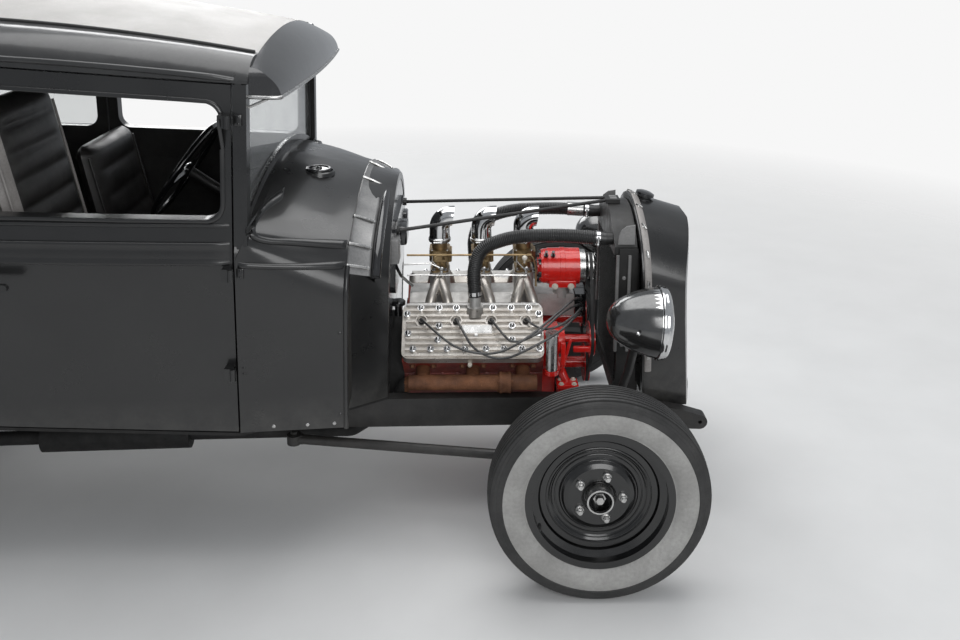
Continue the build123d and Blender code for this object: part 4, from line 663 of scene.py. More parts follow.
REVEAL = ((-0.001, -0.001), (0.000, 0.0045), (0.004, 0.0060), (0.009, 0.0048), (0.013, 0.0018),
          (0.0135, -0.001))
DRIP = ((-0.006, -0.001), (-0.0066, 0.010), (-0.004, 0.013), (0, 0.0135), (0.003, 0.010), (0.006, 0.004),
        (0.008, -0.001))
# Where the belt runs: the body's end, both sides of the seam behind the door, the door's front edge
BODY_END, SEAM_BEHIND, SEAM_AHEAD, DOOR_FRONT = -3.045, -1.8875, -1.8815, -1.0865
HINGES = (0.640, 0.948, 1.395)

for side, hand in SIDES:
    door = "door_" + hand
    for word, node, body, first, last, count, heights in (
        ("rear_", "rear_body", "chassis", BODY_END, SEAM_BEHIND, 36, (1.004, 1.002, 1.078, 1.084)),
        ("door_", door, door, SEAM_AHEAD, DOOR_FRONT, 28, (1.002, 1.008, 1.084, 1.090)),
    ):
        moulding("belt_" + word + hand, (node,), line_of((first, heights[0]), (last, heights[1]), count),
                 BELT, body, enamel, side)
        moulding("sill_bead_" + word + hand, (node,), line_of((first, heights[2]), (last, heights[3]), count),
                 BEAD, body, enamel, side)
    for word, node, body, ahead, behind, high_ahead, high_behind in (
        ("window_reveal_", door, door, -1.114, -1.844, 1.438, 1.466),
        ("quarter_reveal_", "rear_body", "chassis", -1.930, -2.560, 1.469, 1.464),
    ):
        around = rounded(((ahead, 1.107), (ahead, high_ahead), (behind, high_behind), (behind, 1.107)), 0.050)
        moulding(word + hand, (node,), around, [(-o - 0.001, r) for o, r in REVEAL], body, enamel, side,
                 closed=True)
    drip_line = [(x, 1.499 + 0.050 * (1 - (x + 2.0) ** 2)) for x in (-1.07 - 0.06 * k for k in range(31))]
    moulding("drip_" + hand, ("roof",), drip_line, DRIP, "chassis", roof_enamel, side, slot="roof_paint")
    # body-side hinge leaves, a screw above and below in each
    leaves = Shape(BODY)
    for z in HINGES:
        found = from_side(("cowl",), -1.064, z, side)
        if found:
            y = found[0].y
            leaves.block((-1.062, y + side * 0.004, z), (0.022, 0.011, 0.034), bevel=0.003)
            for dz in (-0.010, 0.010):
                leaves.bolt((-1.060, y + side * 0.0105, z + dz), (0, side, 0), 0.0042, 0.002, "rivet")
        leaves.block((-1.083, side * 0.648, z), (0.009, 0.009, 0.038), bevel=0.002)
    leaves.give("hinge_leaves_" + hand, enamel, slot="body_paint")
    # door handle's shaft collar
    collar = Shape(BODY)
    base = Vector((-1.800, from_side((door,), -1.800, 0.880, side)[0].y, 0.915))
    collar.lathe(base, (0, side, 0), ((-0.002, 0.024), (0.004, 0.0235), (0.010, 0.018), (0.016, 0.0155)), 28)
    collar.give("handle_collar_" + hand, chrome, door, slot="bright_metal")


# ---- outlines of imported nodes

def girth(nodes, x, centre_z, count, spread, place):
    """Points and normals of some nodes' outline at a station, from one side over the top to the other."""
    found = []
    for k in range(count):
        turn = -spread + 2 * spread * k / (count - 1)
        way = Vector((0, sin(turn), cos(turn)))
        origin = Vector((x, 0, centre_z)) + way * 2
        got = hit(nodes, origin, -way, place)
        if got:
            found.append(got)
    return found


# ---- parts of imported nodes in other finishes

def paint(node, material, test, place=GROUND):
    """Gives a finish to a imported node's faces whose centre and normal, in a drawing frame, pass a test."""
    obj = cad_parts[node]
    back = place.inverted()
    obj.data.materials.append(material)
    index = len(obj.data.materials) - 1
    for face in obj.data.polygons:
        if test(back @ face.center, back.to_3x3() @ face.normal):
            face.material_index = index


for side, hand in SIDES:
    paint("door_" + hand, cabin_cloth, lambda p, n, s=side: n.y * s < -0.3, BODY)
paint("rear_body", cabin_cloth, lambda p, n: n.y * p.y < -0.12 and p.x > -3.02, BODY)
paint("cowl", cabin_cloth, lambda p, n: p.x < -0.7 and n.y * p.y < -0.12, BODY)
paint("roof", cabin_cloth, lambda p, n: n.z < -0.3, BODY)
paint("front_drive", rubber, lambda p, n: abs(p.x - 0.043) < 0.0056 and p.z > 0.33)
paint("front_drive", gloss_black, lambda p, n: -0.010 < p.x < 0.031 and abs(p.y) < 0.074
      and 0.599 < p.z < 0.706)
paint("front_drive", steel, lambda p, n: p.y < -0.25 and p.z > 0.515)
paint("cylinder_heads", cast_alloy, lambda p, n: p.z > 0.690)
paint("exhaust_manifolds", under_black_and_painted_shade, lambda p, n: p.x < -0.60)
paint("lamps", chassis_black, lambda p, n: p.z < 0.652 and p.x > -1)
# The block's rear end, in the recess before the cowl, is blackened as painted shade.
paint("engine_block", under_black_and_painted_shade, lambda p, n: p.x < -0.575)
paint("lamps", chrome, lambda p, n: 0.198 < p.x < 0.240 and abs(p.y) > 0.3)
paint("lamps", lens_face, lambda p, n: p.x >= 0.233 and (p.y**2) > 0.09 and n.x > 0.5)
paint("lamps", lamp_red, lambda p, n: p.x < -3.0)
paint("radiator", core_dark, lambda p, n: abs(n.x) > 0.9 and 0.44 < p.z < 0.9)
paint("generator", steel, lambda p, n: p.x > -0.024)


# ---- cowl: skin that keeps its width to the front seam, band with clips, round flange, side trim

# Cowl stations: x, half width at the sill and at the side, side height, shoulder half width and height, top
COWL = (
    (-1.078, 0.602, 0.627, 0.985, 0.560, 1.078, 1.172),
    (-0.765, 0.553, 0.575, 0.870, 0.452, 1.018, 1.119),
)
COWL_MIDDLE = Vector((0, 0.62))


def cowl_section(share):
    """Points (y, z) of the cowl's outline, from the right sill over the top to the left sill."""
    sill, wide, high, shoulder, above, top = (a + (b - a) * share for a, b in zip(COWL[0][1:], COWL[1][1:]))
    half = curve_through(((sill, 0.430, 0), ((sill + wide) / 2 + 0.004, 0.65, 0), (wide, high, 0),
                          ((wide + shoulder) / 2 + 0.012, (high + above) / 2 + 0.016, 0),
                          (shoulder, above, 0), (shoulder * 0.5, above + (top - above) * 0.74, 0),
                          (0, top, 0)), 7)
    right = [Vector((-p.x, p.y)) for p in half]
    return right + [Vector((-p.x, p.y)) for p in reversed(right[:-1])]


def cowl_ring(share):
    """The outline at a share of the way forward, never inside the cowl's own skin."""
    ring = []
    for p in cowl_section(share):
        start = -1.0765 + 0.0465 * min(1.0, max(0.0, (p.y - 0.99) / 0.09))
        x = start + (COWL[1][0] - start) * share
        way = p - COWL_MIDDLE
        reach = way.length
        way = way / reach
        found = hit(("cowl",), (x, way.x * 2, COWL_MIDDLE.y + way.y * 2), (0, -way.x, -way.y))
        if found:
            own = (Vector((found[0].y, found[0].z)) - COWL_MIDDLE).length
            reach = max(reach, own + 0.0015) if own < reach + 0.018 else reach
        q = COWL_MIDDLE + way * reach
        ring.append(Vector((x, q.x, q.y)))
    return ring


skin = Shape(BODY)
front_ring = cowl_ring(1.0)
skin.skin([cowl_ring(k / 14) for k in range(15)], sheet=True)
made = skin.give("cowl_skin", enamel, crease=50, slot="body_paint").data
trees["cowl_skin"] = BVHTree.FromPolygons([v.co for v in made.vertices], [p.vertices for p in made.polygons])


def drawn(ring, x, draw, lift=0.0):
    """A ring moved to x and drawn in towards the cowl's middle."""
    points = []
    for p in ring:
        way = Vector((p.y, p.z)) - COWL_MIDDLE
        q = COWL_MIDDLE + way * (1 - draw) + way.normalized() * lift
        points.append(Vector((x, q.x, q.y)))
    return points


arch = [p for p in front_ring if p.z > 0.925]
# The band's stations: x, share drawn in, rise
BAND = ((-0.768, 0.0, -0.004), (-0.767, 0.0, 0.002), (-0.763, 0.0, 0.004), (-0.758, 0.004, 0.002),
        (-0.752, 0.008, 0.001), (-0.712, 0.050, 0.001), (-0.706, 0.056, 0.003), (-0.702, 0.060, 0.003),
        (-0.699, 0.064, -0.004))
band = Shape(BODY)
band.skin([drawn(arch, *station) for station in BAND], sheet=True)
band.give("cowl_band", band_metal, crease=50, slot="body_paint")
flange = Shape(BODY)
flange.tube(drawn(arch, -0.684, 0.082), 0.0155, 14)
flange.give("cowl_flange", gloss_black, slot="body_paint")
clips = Shape(BODY)
for share in (0.06, 0.17, 0.29, 0.42, 0.58, 0.71, 0.83, 0.94):
    i = int(share * (len(arch) - 1))
    a, b = drawn(arch, -0.764, 0.0)[i], drawn(arch, -0.705, 0.055)[i]
    out = Vector((0, (a.y + b.y) / 2, (a.z + b.z) / 2 - COWL_MIDDLE.y)).normalized()
    clips.tube([a + out * 0.006, a.lerp(b, 0.5) + out * 0.008, b + out * 0.006], 0.0042, 8)
    for end in (a, b):
        clips.bolt(end + out * 0.004, out, 0.0060, 0.006, "rivet")
clips.give("cowl_band_clips", steel, slot="bright_metal")
inner = Shape(BODY)
inner.skin([drawn(front_ring, -0.766, 0.0), drawn(front_ring, -0.768, 0.12), drawn(front_ring, -0.760, 0.30)],
           sheet=True)
inner.skin([drawn(arch, -0.690, 0.075), drawn(arch, -0.690, 0.16), drawn(arch, -0.700, 0.34)], sheet=True)
inner.give("cowl_inner_wall", under_dark, slot="chassis_paint")
for side, hand in SIDES:
    trim = Shape(BODY)
    edge = sorted((p for p in front_ring if p.z < 0.95 and p.y * side > 0.2), key=lambda p: p.z)
    trim.tube([p + Vector((0.001, side * 0.002, 0)) for p in edge], 0.0075, 10)
    for share in (0.12, 0.5, 0.88):
        p = edge[int(share * (len(edge) - 1))]
        trim.bolt(p + Vector((-0.018, side * 0.002, 0)), (0, side, 0), 0.0065, 0.004, "rivet")
    trim.give("cowl_side_trim_" + hand, enamel, slot="body_paint")
    # the bead that sweeps from the windshield's foot down by the pillar and forward at belt height
    sweep = curve_through(((-0.985, 1.120, 0), (-1.020, 1.104, 0), (-1.036, 1.078, 0), (-1.026, 1.052, 0),
                           (-0.990, 1.036, 0), (-0.930, 1.026, 0), (-0.860, 1.014, 0), (-0.772, 1.000, 0)), 8)
    bead = [(1.5 * a, 1.5 * b) for a, b in BEAD]
    covers = ("cowl_skin", "cowl")
    moulding("cowl_sweep_" + hand, covers, [(p.x, p.y) for p in sweep], bead, "chassis", enamel, side)
    moulding("cowl_belt_" + hand, covers, line_of((-1.070, 0.974), (-0.772, 0.952), 20), bead, "chassis",
             enamel, side)


# ---- engine: head nuts, pads, plug boots, bolts of the block and the exhaust manifolds

HEAD_X, HEAD_Y, HEAD_Z = -0.370, 0.1923, 0.6023
SLOPE = sin(radians(45))
MANIFOLD_Y, MANIFOLD_Z = 0.282, 0.470
PLUGS = (-0.174, -0.057, 0.062, 0.180)
# Rows of head nuts: up the slope, places along the head
NUT_ROWS = (
    (0.077, (-0.177, -0.115, -0.056, 0.069, 0.131, 0.191)),
    (0.055, (-0.223, 0.225)),
    (0.012, (-0.114, 0.133)),
    (-0.014, (-0.218, 0.222)),
    (-0.037, (-0.117, 0.132)),
    (-0.069, (-0.200, -0.141, -0.086, -0.026, 0.044, 0.104, 0.164, 0.224)),
)


def on_head(side, along, up, out):
    """A place on a cylinder head: along the car, up the slope and out from the head's foot."""
    return Vector((HEAD_X + along, side * (HEAD_Y + SLOPE * (out - up)), HEAD_Z + SLOPE * (out + up)))


for side, hand in SIDES:
    away = Vector((0, side * SLOPE, SLOPE))
    nuts = Shape()
    for up, places in NUT_ROWS:
        for along in places:
            nuts.lathe(on_head(side, along, up, 0.038), away,
                       ((0, 0.0125), (0.0145, 0.0115), (0.0150, 0.010)), 16)
            nuts.bolt(on_head(side, along, up, 0.0530), away, 0.0088, 0.015, "acorn")
    nuts.give("head_nuts_" + hand, chrome, slot="bright_metal")
    pad = Shape()
    pad.lathe(on_head(side, 0.011, -0.021, 0.0515), away, ((0, 0.0062), (0.002, 0.006), (0.0025, 0)), 14)
    middle = on_head(side, 0.014, 0.0, 0.0522)
    up = Vector((0, -side * SLOPE, SLOPE))
    corners = ((-0.050, -0.014), (0.050, -0.014), (0.050, 0.014), (-0.050, 0.014))
    pad.plate([middle + X * a + up * b for a, b in corners], away * 0.0016, 0.0007)
    pad.give("head_pad_" + hand, steel, slot="head_metal")
    boots = Shape()
    for spread in PLUGS:
        foot = on_head(side, spread, 0.031, 0.045)
        boots.lathe(foot, away, ((0, 0.0112), (0.004, 0.0112), (0.0045, 0.0095), (0.009, 0.0092),
                                 (0.0100, 0.0078), (0.0185, 0.0060), (0.0205, 0.0048)), 14)
    boots.give("plug_boots_" + hand, rubber, slot="lead_rubber")
    block = Shape()
    side_bolts(block, "engine_block", [(HEAD_X - 0.205 + 0.0505 * k, 0.452) for k in range(9)], side, 0.0075,
               0.008)
    side_bolts(block, "engine_block", [(x, 0.360) for x in (-0.54, -0.455, -0.37, -0.285, -0.20)], side,
               0.0065, 0.006)
    block.give("block_bolts_" + hand, block_red, slot="block_paint")
    log = Shape()
    for ahead in (0.094, 0.122):
        log.lathe((HEAD_X + ahead, side * MANIFOLD_Y, MANIFOLD_Z), X, ((-0.005, 0.036), (0.005, 0.036)), 28)
    for turn in (0.5, 2.6, 4.7):
        y, z = side * MANIFOLD_Y + 0.029 * cos(turn), MANIFOLD_Z + 0.029 * sin(turn)
        for ahead, way in ((0.127, 1), (0.089, -1)):
            log.bolt((HEAD_X + ahead, y, z), (way, 0, 0), 0.006, 0.009)
    ports = [(HEAD_X + spread + dx, 0.508) for spread in (-0.170, 0, 0.170) for dx in (-0.036, 0.036)]
    side_bolts(log, "engine_block", ports, side, 0.008, 0.011)
    log.give("exhaust_bolts_" + hand, rust, slot="exhaust_rust")


# ---- plug leads: the same routes as in the part's source, mirrored to the right

# Each lead: the height of its tower, its free points, its length
LEAD_THICK = 0.008
TOWER_X = 0.011
PLUG_Y, PLUG_Z = 0.216, 0.670
LEADS = ((0.690, ((-0.498, 0.300, 0.664), (-0.419, 0.335, 0.612), (-0.298, 0.347, 0.596),
                  (-0.193, 0.335, 0.650), (-0.095, 0.285, 0.714), (-0.019, 0.215, 0.751)), 0.816),
         (0.634, ((-0.402, 0.285, 0.657), (-0.369, 0.325, 0.607), (-0.275, 0.345, 0.574),
                  (-0.166, 0.335, 0.625), (-0.075, 0.297, 0.661), (-0.008, 0.210, 0.692)), 0.721),
         (0.672, ((-0.280, 0.285, 0.656), (-0.237, 0.310, 0.618), (-0.145, 0.298, 0.655),
                  (-0.071, 0.245, 0.708), (0.001, 0.165, 0.706)), 0.536),
         (0.653, ((-0.159, 0.262, 0.657), (-0.106, 0.238, 0.639), (-0.041, 0.222, 0.668),
                  (0.007, 0.175, 0.699)), 0.359))
for side, hand in SIDES:
    towers = Shape()
    for number, (spread, (end_z, free, length)) in enumerate(zip(PLUGS, LEADS), 1):
        points = [(HEAD_X + spread, PLUG_Y, PLUG_Z), *free, (TOWER_X, 0.118, end_z + 0.004),
                  (TOWER_X, 0.073, end_z)]
        points = [Vector((x + FRONT_AXLE, side * y, z)) for x, y, z in points]
        data = bpy.data.curves.new("plug_lead", "CURVE")
        data.dimensions = "3D"
        data.bevel_depth = LEAD_THICK / 2
        data.bevel_resolution = 3
        data.use_fill_caps = True
        spline = data.splines.new("NURBS")
        spline.points.add(len(points) - 1)
        for point, place in zip(spline.points, points):
            point.co = (*place, 1)
        spline.order_u = 3
        spline.use_endpoint_u = True
        spline.resolution_u = 10
        data.materials.append(lead_cover)
        lead = bpy.data.objects.new(f"plug_lead_{hand}_{number}", data)
        bpy.context.scene.collection.objects.link(lead)
        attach(lead, "chassis")
        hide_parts("plug_leads")
        towers.lathe((TOWER_X, side * 0.0715, end_z), (0, side, 0),
                     ((0, 0.0085), (0.010, 0.0080), (0.012, 0.0062)), 12)
    towers.give("distributor_towers_" + hand, gloss_black, slot="lead_rubber")


# ---- hoses: ribbed rubber with clamps, the far one with a bright sleeve

def soft_line(corners, radius, spacing):
    """A line along corners, rounded at each, in even steps."""
    corners = [Vector(c) for c in corners]
    rough_line = [corners[0]]
    for a, b, c in zip(corners, corners[1:], corners[2:]):
        reach = min(radius, 0.48 * (a - b).length, 0.48 * (c - b).length)
        start, end = b + (a - b).normalized() * reach, b + (c - b).normalized() * reach
        rough_line += [(1 - t) ** 2 * start + 2 * t * (1 - t) * b + t * t * end
                       for t in (k / 10 for k in range(11))]
    rough_line.append(corners[-1])
    lengths = [(b - a).length for a, b in zip(rough_line, rough_line[1:])]
    total = sum(lengths)
    count = int(total / spacing)
    line, passed, index = [], 0.0, 0
    for k in range(count + 1):
        wanted = total * k / count
        while index < len(lengths) - 1 and passed + lengths[index] < wanted:
            passed += lengths[index]
            index += 1
        share = min(1.0, (wanted - passed) / max(lengths[index], 1e-9))
        line.append(rough_line[index].lerp(rough_line[index + 1], share))
    return line


for side, hand in SIDES:
    route = ((-0.362, side * 0.175, 0.736), (-0.368, side * 0.170, 0.830), (-0.342, side * 0.160, 0.905),
             (-0.232, side * 0.160, 0.945), (-0.060, side * 0.165, 0.950), (0.078, side * 0.165, 0.938))
    line = soft_line(route, 0.075, 0.0020)
    steps = len(line)
    radii = []
    for k in range(steps):
        plain = k < 16 or k > steps - 22
        radii.append(0.0226 if plain else 0.0214 + 0.0024 * cos(tau * k / 6) ** 2)
    hose = Shape()
    hose.tube(line, radii, 18)
    hose = hose.give("radiator_hose_" + hand, hose_rubber, crease=60, slot="flex_rubber")
    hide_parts("radiator_hoses")
    clamp = Shape()
    for at in (6, steps - 14):
        way = (line[at + 1] - line[at]).normalized()
        clamp.lathe(line[at], way, ((-0.0065, 0.0228), (-0.0065, 0.0242), (0.0065, 0.0242), (0.0065, 0.0228)),
                    28, cap=False)
        u, v = across(way)
        spot = line[at] + u * 0.027
        clamp.lathe(spot - v * 0.012, v, ((0, 0.0042), (0.024, 0.0042), (0.025, 0.0058), (0.030, 0.0058)), 10)
    clamp.give("hose_clamps_" + hand, chrome, slot="bright_metal")
sleeve = Shape()
sleeve.lathe((-0.020, 0.1655, 0.9470), (0.078, 0, -0.0045),
             ((0, 0.0230), (0.001, 0.0252), (0.058, 0.0252), (0.060, 0.0230)), 28, cap=False)
sleeve.give("hose_sleeve_left", steel, slot="bright_metal")


# ---- carburettors, linkage, fuel rail, runners

RUNNER = ((0, 0.040, 0.762), (0.012, 0.078, 0.738), (0.028, 0.112, 0.700), (0.036, 0.128, 0.655))
RAIL_Y, ROD_Y = -0.066, -0.0715
CARBS = (-0.487, -0.339, -0.190)
carbs, brass, runners = Shape(), Shape(), Shape()
for x in CARBS:
    for sx, sy in ((-0.027, -0.039), (0.027, -0.039), (-0.027, 0.039), (0.027, 0.039)):
        carbs.bolt((x + sx, sy, 0.8530), Z, 0.0042, 0.004, "plain")
    for sx, sy in ((-0.020, -0.043), (0.020, -0.043), (-0.020, 0.043), (0.020, 0.043)):
        carbs.bolt((x + sx, sy, 0.7830), Z, 0.0066, 0.008)
    carbs.lathe((x, 0, 0.878), Z, ((0, 0.0272), (0, 0.0385), (0.003, 0.0395), (0.011, 0.0395),
                                   (0.013, 0.0372)), 32, cap=False)
    carbs.lathe((x - 0.020, -0.046, 0.884), X, ((0, 0.0040), (0.022, 0.0040), (0.023, 0.0060),
                                                (0.030, 0.0060)), 10)
    for side in (-1, 1):
        brass.lathe((x + 0.018, side * 0.047, 0.826), (0, side, 0),
                    ((0, 0.0085), (0.006, 0.0085), (0.007, 0.0060), (0.014, 0.0060)), 6)
        brass.lathe((x - 0.016, side * 0.047, 0.832), (0, side, 0),
                    ((0, 0.0060), (0.004, 0.0058), (0.005, 0.0030)), 12)
        brass.bolt((x - 0.005, side * 0.047, 0.805), (0, side, 0), 0.0052, 0.006)
        for way in (-1, 1):
            runners.tube(curve_through([(x + way * dx, side * y, z) for dx, y, z in RUNNER], 6), 0.0185, 14)
    carbs.block((x + 0.008, -0.068, 0.786), (0.009, 0.004, 0.034), bevel=0.0012)
    carbs.lathe((x + 0.008, -0.064, 0.797), (0, -1, 0), ((0, 0.0075), (0.008, 0.0075), (0.009, 0.0055)), 14)
    carbs.tube(((x - 0.024, -0.054, 0.846), (x - 0.026, -0.058, 0.822), (x + 0.004, -0.066, 0.790)), 0.0022,
               8)
carbs.tube(((-0.600, ROD_Y, 0.774), (-0.180, ROD_Y, 0.773)), 0.0032, 8)
carbs.tube(((-0.614, RAIL_Y, 0.811), (-0.519, RAIL_Y, 0.816), (-0.482, RAIL_Y, 0.798)), 0.0028, 8)
carbs.give("carburettor_hardware", steel, slot="carb_metal")
rail = ((-0.600, RAIL_Y, 0.846), (-0.540, RAIL_Y, 0.846), (-0.160, RAIL_Y, 0.846), (-0.148, RAIL_Y, 0.80),
        (-0.150, -0.10, 0.742))
brass.tube(soft_line(rail, 0.022, 0.006), 0.0036, 8)
for x in CARBS:
    brass.tube(((x + 0.018, -0.062, 0.828), (x + 0.018, RAIL_Y, 0.846)), 0.0040, 8)
    brass.lathe((x + 0.010, RAIL_Y, 0.846), X, ((0, 0.0062), (0.016, 0.0062)), 6)
brass.give("fuel_rail", brassy, slot="carb_metal")
runners.give("intake_runners", head_alloy, crease=60, slot="cast_metal")
bands = Shape()
for x in CARBS:
    bands.lathe((x, 0, 0.886), Z, hoop(0.0375, 0.008, 0.001), 32, cap=False)
bands.give("scoop_bands", chrome, slot="bright_metal")


# ---- generator: bands, slots, terminals, saddle and its bolts, fan

GEN = Vector((-0.057, -0.050, 0.800))
gen = Shape()
for x, radius, width in ((-0.126, 0.0612, 0.020), (-0.066, 0.0662, 0.018)):
    gen.lathe((x, GEN.y, GEN.z), X, hoop(radius, width), 48, cap=False)
gen.block((-0.057, -0.094, 0.752), (0.095, 0.030, 0.026), bevel=0.004)
gen.give("generator_bands", bright_red, slot="generator_paint")
gen = Shape()
for k in range(8):
    turn = tau * k / 8 + 0.2
    out = Vector((0, cos(turn), sin(turn)))
    gen.block(GEN + Vector((-0.080, 0, 0)) + out * 0.0588, (0.011, 0.020, 0.002),
              Matrix.Rotation(turn - pi / 2, 3, "X"), 0.0006)
for ahead, way in ((-0.077, -1), (0.045, 1)):
    for turn in (1.9, 4.4):
        gen.bolt(GEN + Vector((ahead, 0.044 * cos(turn), 0.044 * sin(turn))), (way, 0, 0), 0.004, 0.008)
post = ((0, 0.0085), (0.006, 0.008), (0.007, 0.0036), (0.019, 0.0036), (0.020, 0.0055), (0.024, 0.0055))
for ahead in (-0.034, -0.058):
    gen.lathe(GEN + Vector((ahead, -0.040, 0.051)), (0, -0.6, 0.8), post, 10)
gen.give("generator_terminals", gloss_black, slot="generator_paint")
gen = Shape()
for x in (-0.084, -0.028):
    gen.bolt((x, -0.109, 0.745), (0, -1, 0), 0.0085, 0.009, "hex")
knob = ((0, 0.0035), (0.018, 0.0035), (0.019, 0.0085), (0.026, 0.0095), (0.031, 0.006), (0.032, 0))
gen.lathe((-0.189, -0.075, 0.820), (0, -0.5, 1), knob, 14)
gen.give("generator_bolts", cream, slot="bright_metal")
fan = Shape()
for k in range(10):
    turn = tau * k / 10
    out, along = Vector((0, cos(turn), sin(turn))), Vector((0, -sin(turn), cos(turn)))
    root = Vector((0.0500, GEN.y, GEN.z))
    fan.plate([root + out * 0.016 - along * 0.005, root + out * 0.046 - along * 0.009 + X * 0.003,
               root + out * 0.046 + along * 0.007 + X * 0.010,
               root + out * 0.016 + along * 0.005 + X * 0.004], X * 0.0012)
fan.lathe((0.048, GEN.y, GEN.z), X, ((0, 0.018), (0.006, 0.017), (0.012, 0.012), (0.014, 0)), 24)
fan.give("generator_fan", steel, slot="bright_metal")


# ---- front drive: pulley caps, pump bolts, filler sleeve, brackets, mount bolts

drive = Shape()
for y, z in ((-0.128, 0.560), (0.128, 0.560), (0, 0.410)):
    drive.lathe((0.052, y, z), X, ((0, 0.026), (0.005, 0.024), (0.010, 0.015), (0.012, 0)), 24)
    for k in range(4):
        turn = tau * k / 4 + 0.4
        drive.bolt((0.0515, y + 0.034 * cos(turn), z + 0.034 * sin(turn)), X, 0.005, 0.005)
drive.lathe((-0.106, -0.280, 0.5145), Z, ((0, 0.0188), (0.001, 0.0196), (0.122, 0.0196), (0.124, 0.0188)), 28,
            cap=False)
drive.give("drive_hardware", steel, slot="bright_metal")
brace = Shape()
for centre, size, lean, bevel in (
    ((-0.066, -0.262, 0.563), (0.016, 0.010, 0.082), 0, 0.003),
    ((-0.052, -0.218, 0.535), (0.010, 0.014, 0.130), 14, 0.003),
    ((-0.046, -0.224, 0.4345), (0.074, 0.060, 0.014), 0, 0.003),
    ((0.004, -0.200, 0.552), (0.060, 0.016, 0.020), 0, 0.004),
):
    brace.block(centre, size, Matrix.Rotation(radians(lean), 3, "Y"), bevel)
brace.give("pump_brackets", bright_red, slot="block_paint")
mounts = Shape()
for dx, dy in ((-0.022, -0.018), (0.022, -0.018), (-0.022, 0.018), (0.022, 0.018)):
    mounts.bolt((-0.046 + dx, -0.224 + dy, 0.4415), Z, 0.007, 0.007)
    mounts.bolt((-0.046 + dx, 0.214 + dy * 0.8, 0.4230), Z, 0.007, 0.007)
mounts.bolt((-0.380, -0.263, 0.524), (0, -SLOPE, SLOPE), 0.008, 0.010, "plain")
mounts.give("mount_bolts", cream, slot="bright_metal")


# ---- firewall: regulator and terminal boxes, breather, cable

fire = Shape()
fire.block((-0.632, -0.205, 0.915), (0.038, 0.070, 0.085), bevel=0.006)
for y in (-0.185, -0.225):
    fire.bolt((-0.6125, y, 0.94), X, 0.004, 0.003, "plain")
fire.give("regulator_box", regulator_grey, slot="chassis_paint")
fire = Shape()
fire.block((-0.626, 0.02, 0.905), (0.050, 0.110, 0.070), bevel=0.008)
fire.block((-0.632, 0.205, 0.900), (0.038, 0.060, 0.060), bevel=0.006)
cable = ((-0.632, -0.205, 0.872), (-0.615, -0.19, 0.82), (-0.600, -0.09, 0.76), (-0.585, -0.03, 0.72))
fire.tube(soft_line(cable, 0.04, 0.008), 0.0055, 8)
breather = ((0, 0.012), (0.040, 0.012), (0.042, 0.026), (0.052, 0.026), (0.056, 0.022), (0.057, 0))
fire.lathe((-0.630, -0.110, 0.640), Z, breather, 24)
fire.give("firewall_boxes", gloss_black, slot="chassis_paint")


# ---- seats: rolled upholstery

SEAT_HALF, BENCH_HALF = 0.224, 0.474

def upholstered(name, base, run, front, half, thick, rolls, side_cover):
    """A closed, crowned pad: rolls cross its front face; its flanks take the paler cover."""
    shape = Shape(BODY)
    base, run, front = Vector(base), Vector(run), Vector(front).normalized()
    rings = []
    count, across_count = 8 * rolls + 8, 34
    for k in range(count + 1):
        u = k / count
        end = min(u, 1 - u)
        close = 1 - (1 - min(end / 0.07, 1)) ** 2.4
        width = half * (0.90 + 0.10 * close)
        deep = (thick[0] + (thick[1] - thick[0]) * u) / 2 * (0.30 + 0.70 * close)
        swell = abs(sin(pi * rolls * u)) ** 0.55
        ring = []
        for j in range(across_count + 1):
            y = -1 + 2 * j / across_count
            edge = (1 - abs(y) ** 7) ** 0.5
            inset = max(0.0, 1 - (abs(y) / 0.80) ** 14)
            rise = deep * edge + 0.010 * (1 - y * y) * close + (0.011 * (swell - 0.75)) * inset * close
            ring.append(base + run * u + Vector((0, y * width, 0)) + front * rise)
        for j in range(1, 12):
            y = 1 - 2 * j / 12
            ring.append(base + run * u + Vector((0, y * width, 0)) - front * deep * (1 - abs(y) ** 7) ** 0.5)
        rings.append(ring)
    shape.skin(rings)
    middle = base.y
    for face in shape.mesh.faces:
        if abs(face.calc_center_median().y - middle) > 0.80 * half:
            face.material_index = 1
    obj = shape.give(name, (hide, side_cover), crease=70, slot="seat_leather")
    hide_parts("seats")
    piping = Shape(BODY)
    for side in (-1, 1):
        line = [base + run * u + Vector((0, side * half * 0.985,
                                         0)) + front * (thick[0] + (thick[1] - thick[0]) * u) * 0.34
                for u in (0.07 + 0.86 * k / 16 for k in range(17))]
        piping.tube(line, 0.0048, 8)
    piping.give(name + "_piping", side_cover, slot="seat_leather")


for name, y, top, cover in (("passenger", -0.300, 1.425, pale_hide), ("driver", 0.300, 1.165, hide)):
    lean = (top - 0.590) * 0.19
    upholstered("seat_back_" + name, (-1.672, y, 0.570), (-0.135 - lean + 0.120, 0, top - 0.600),
                (1, 0, 0.17), SEAT_HALF, (0.108, 0.076), 10 if top > 1.3 else 6, cover)
    upholstered("seat_cushion_" + name, (-1.600, y, 0.586), (0.480, 0, 0.010), Z, SEAT_HALF, (0.104, 0.104),
                6, cover)
upholstered("rear_bench_cushion", (-2.540, 0, 0.600), (0.390, 0, 0.012), Z, BENCH_HALF, (0.125, 0.130), 5,
            hide)
upholstered("rear_bench_back", (-2.630, 0, 0.660), (-0.105, 0, 0.455), (1, 0, 0.22), BENCH_HALF,
            (0.090, 0.080), 7, hide)
feet = Shape(BODY)
for y in (-0.300, 0.300):
    for dy in (-0.17, 0.17):
        feet.block((-1.370, y + dy, 0.445), (0.400, 0.030, 0.028), bevel=0.003)
        for x in (-1.540, -1.200):
            feet.block((x, y + dy, 0.490), (0.030, 0.026, 0.080), bevel=0.003)
            feet.bolt((x - 0.022, y + dy, 0.459), Z, 0.007, 0.006)
feet.give("seat_runners", chassis_black, slot="chassis_paint")


# ---- cabin: dials, steering wheel boss

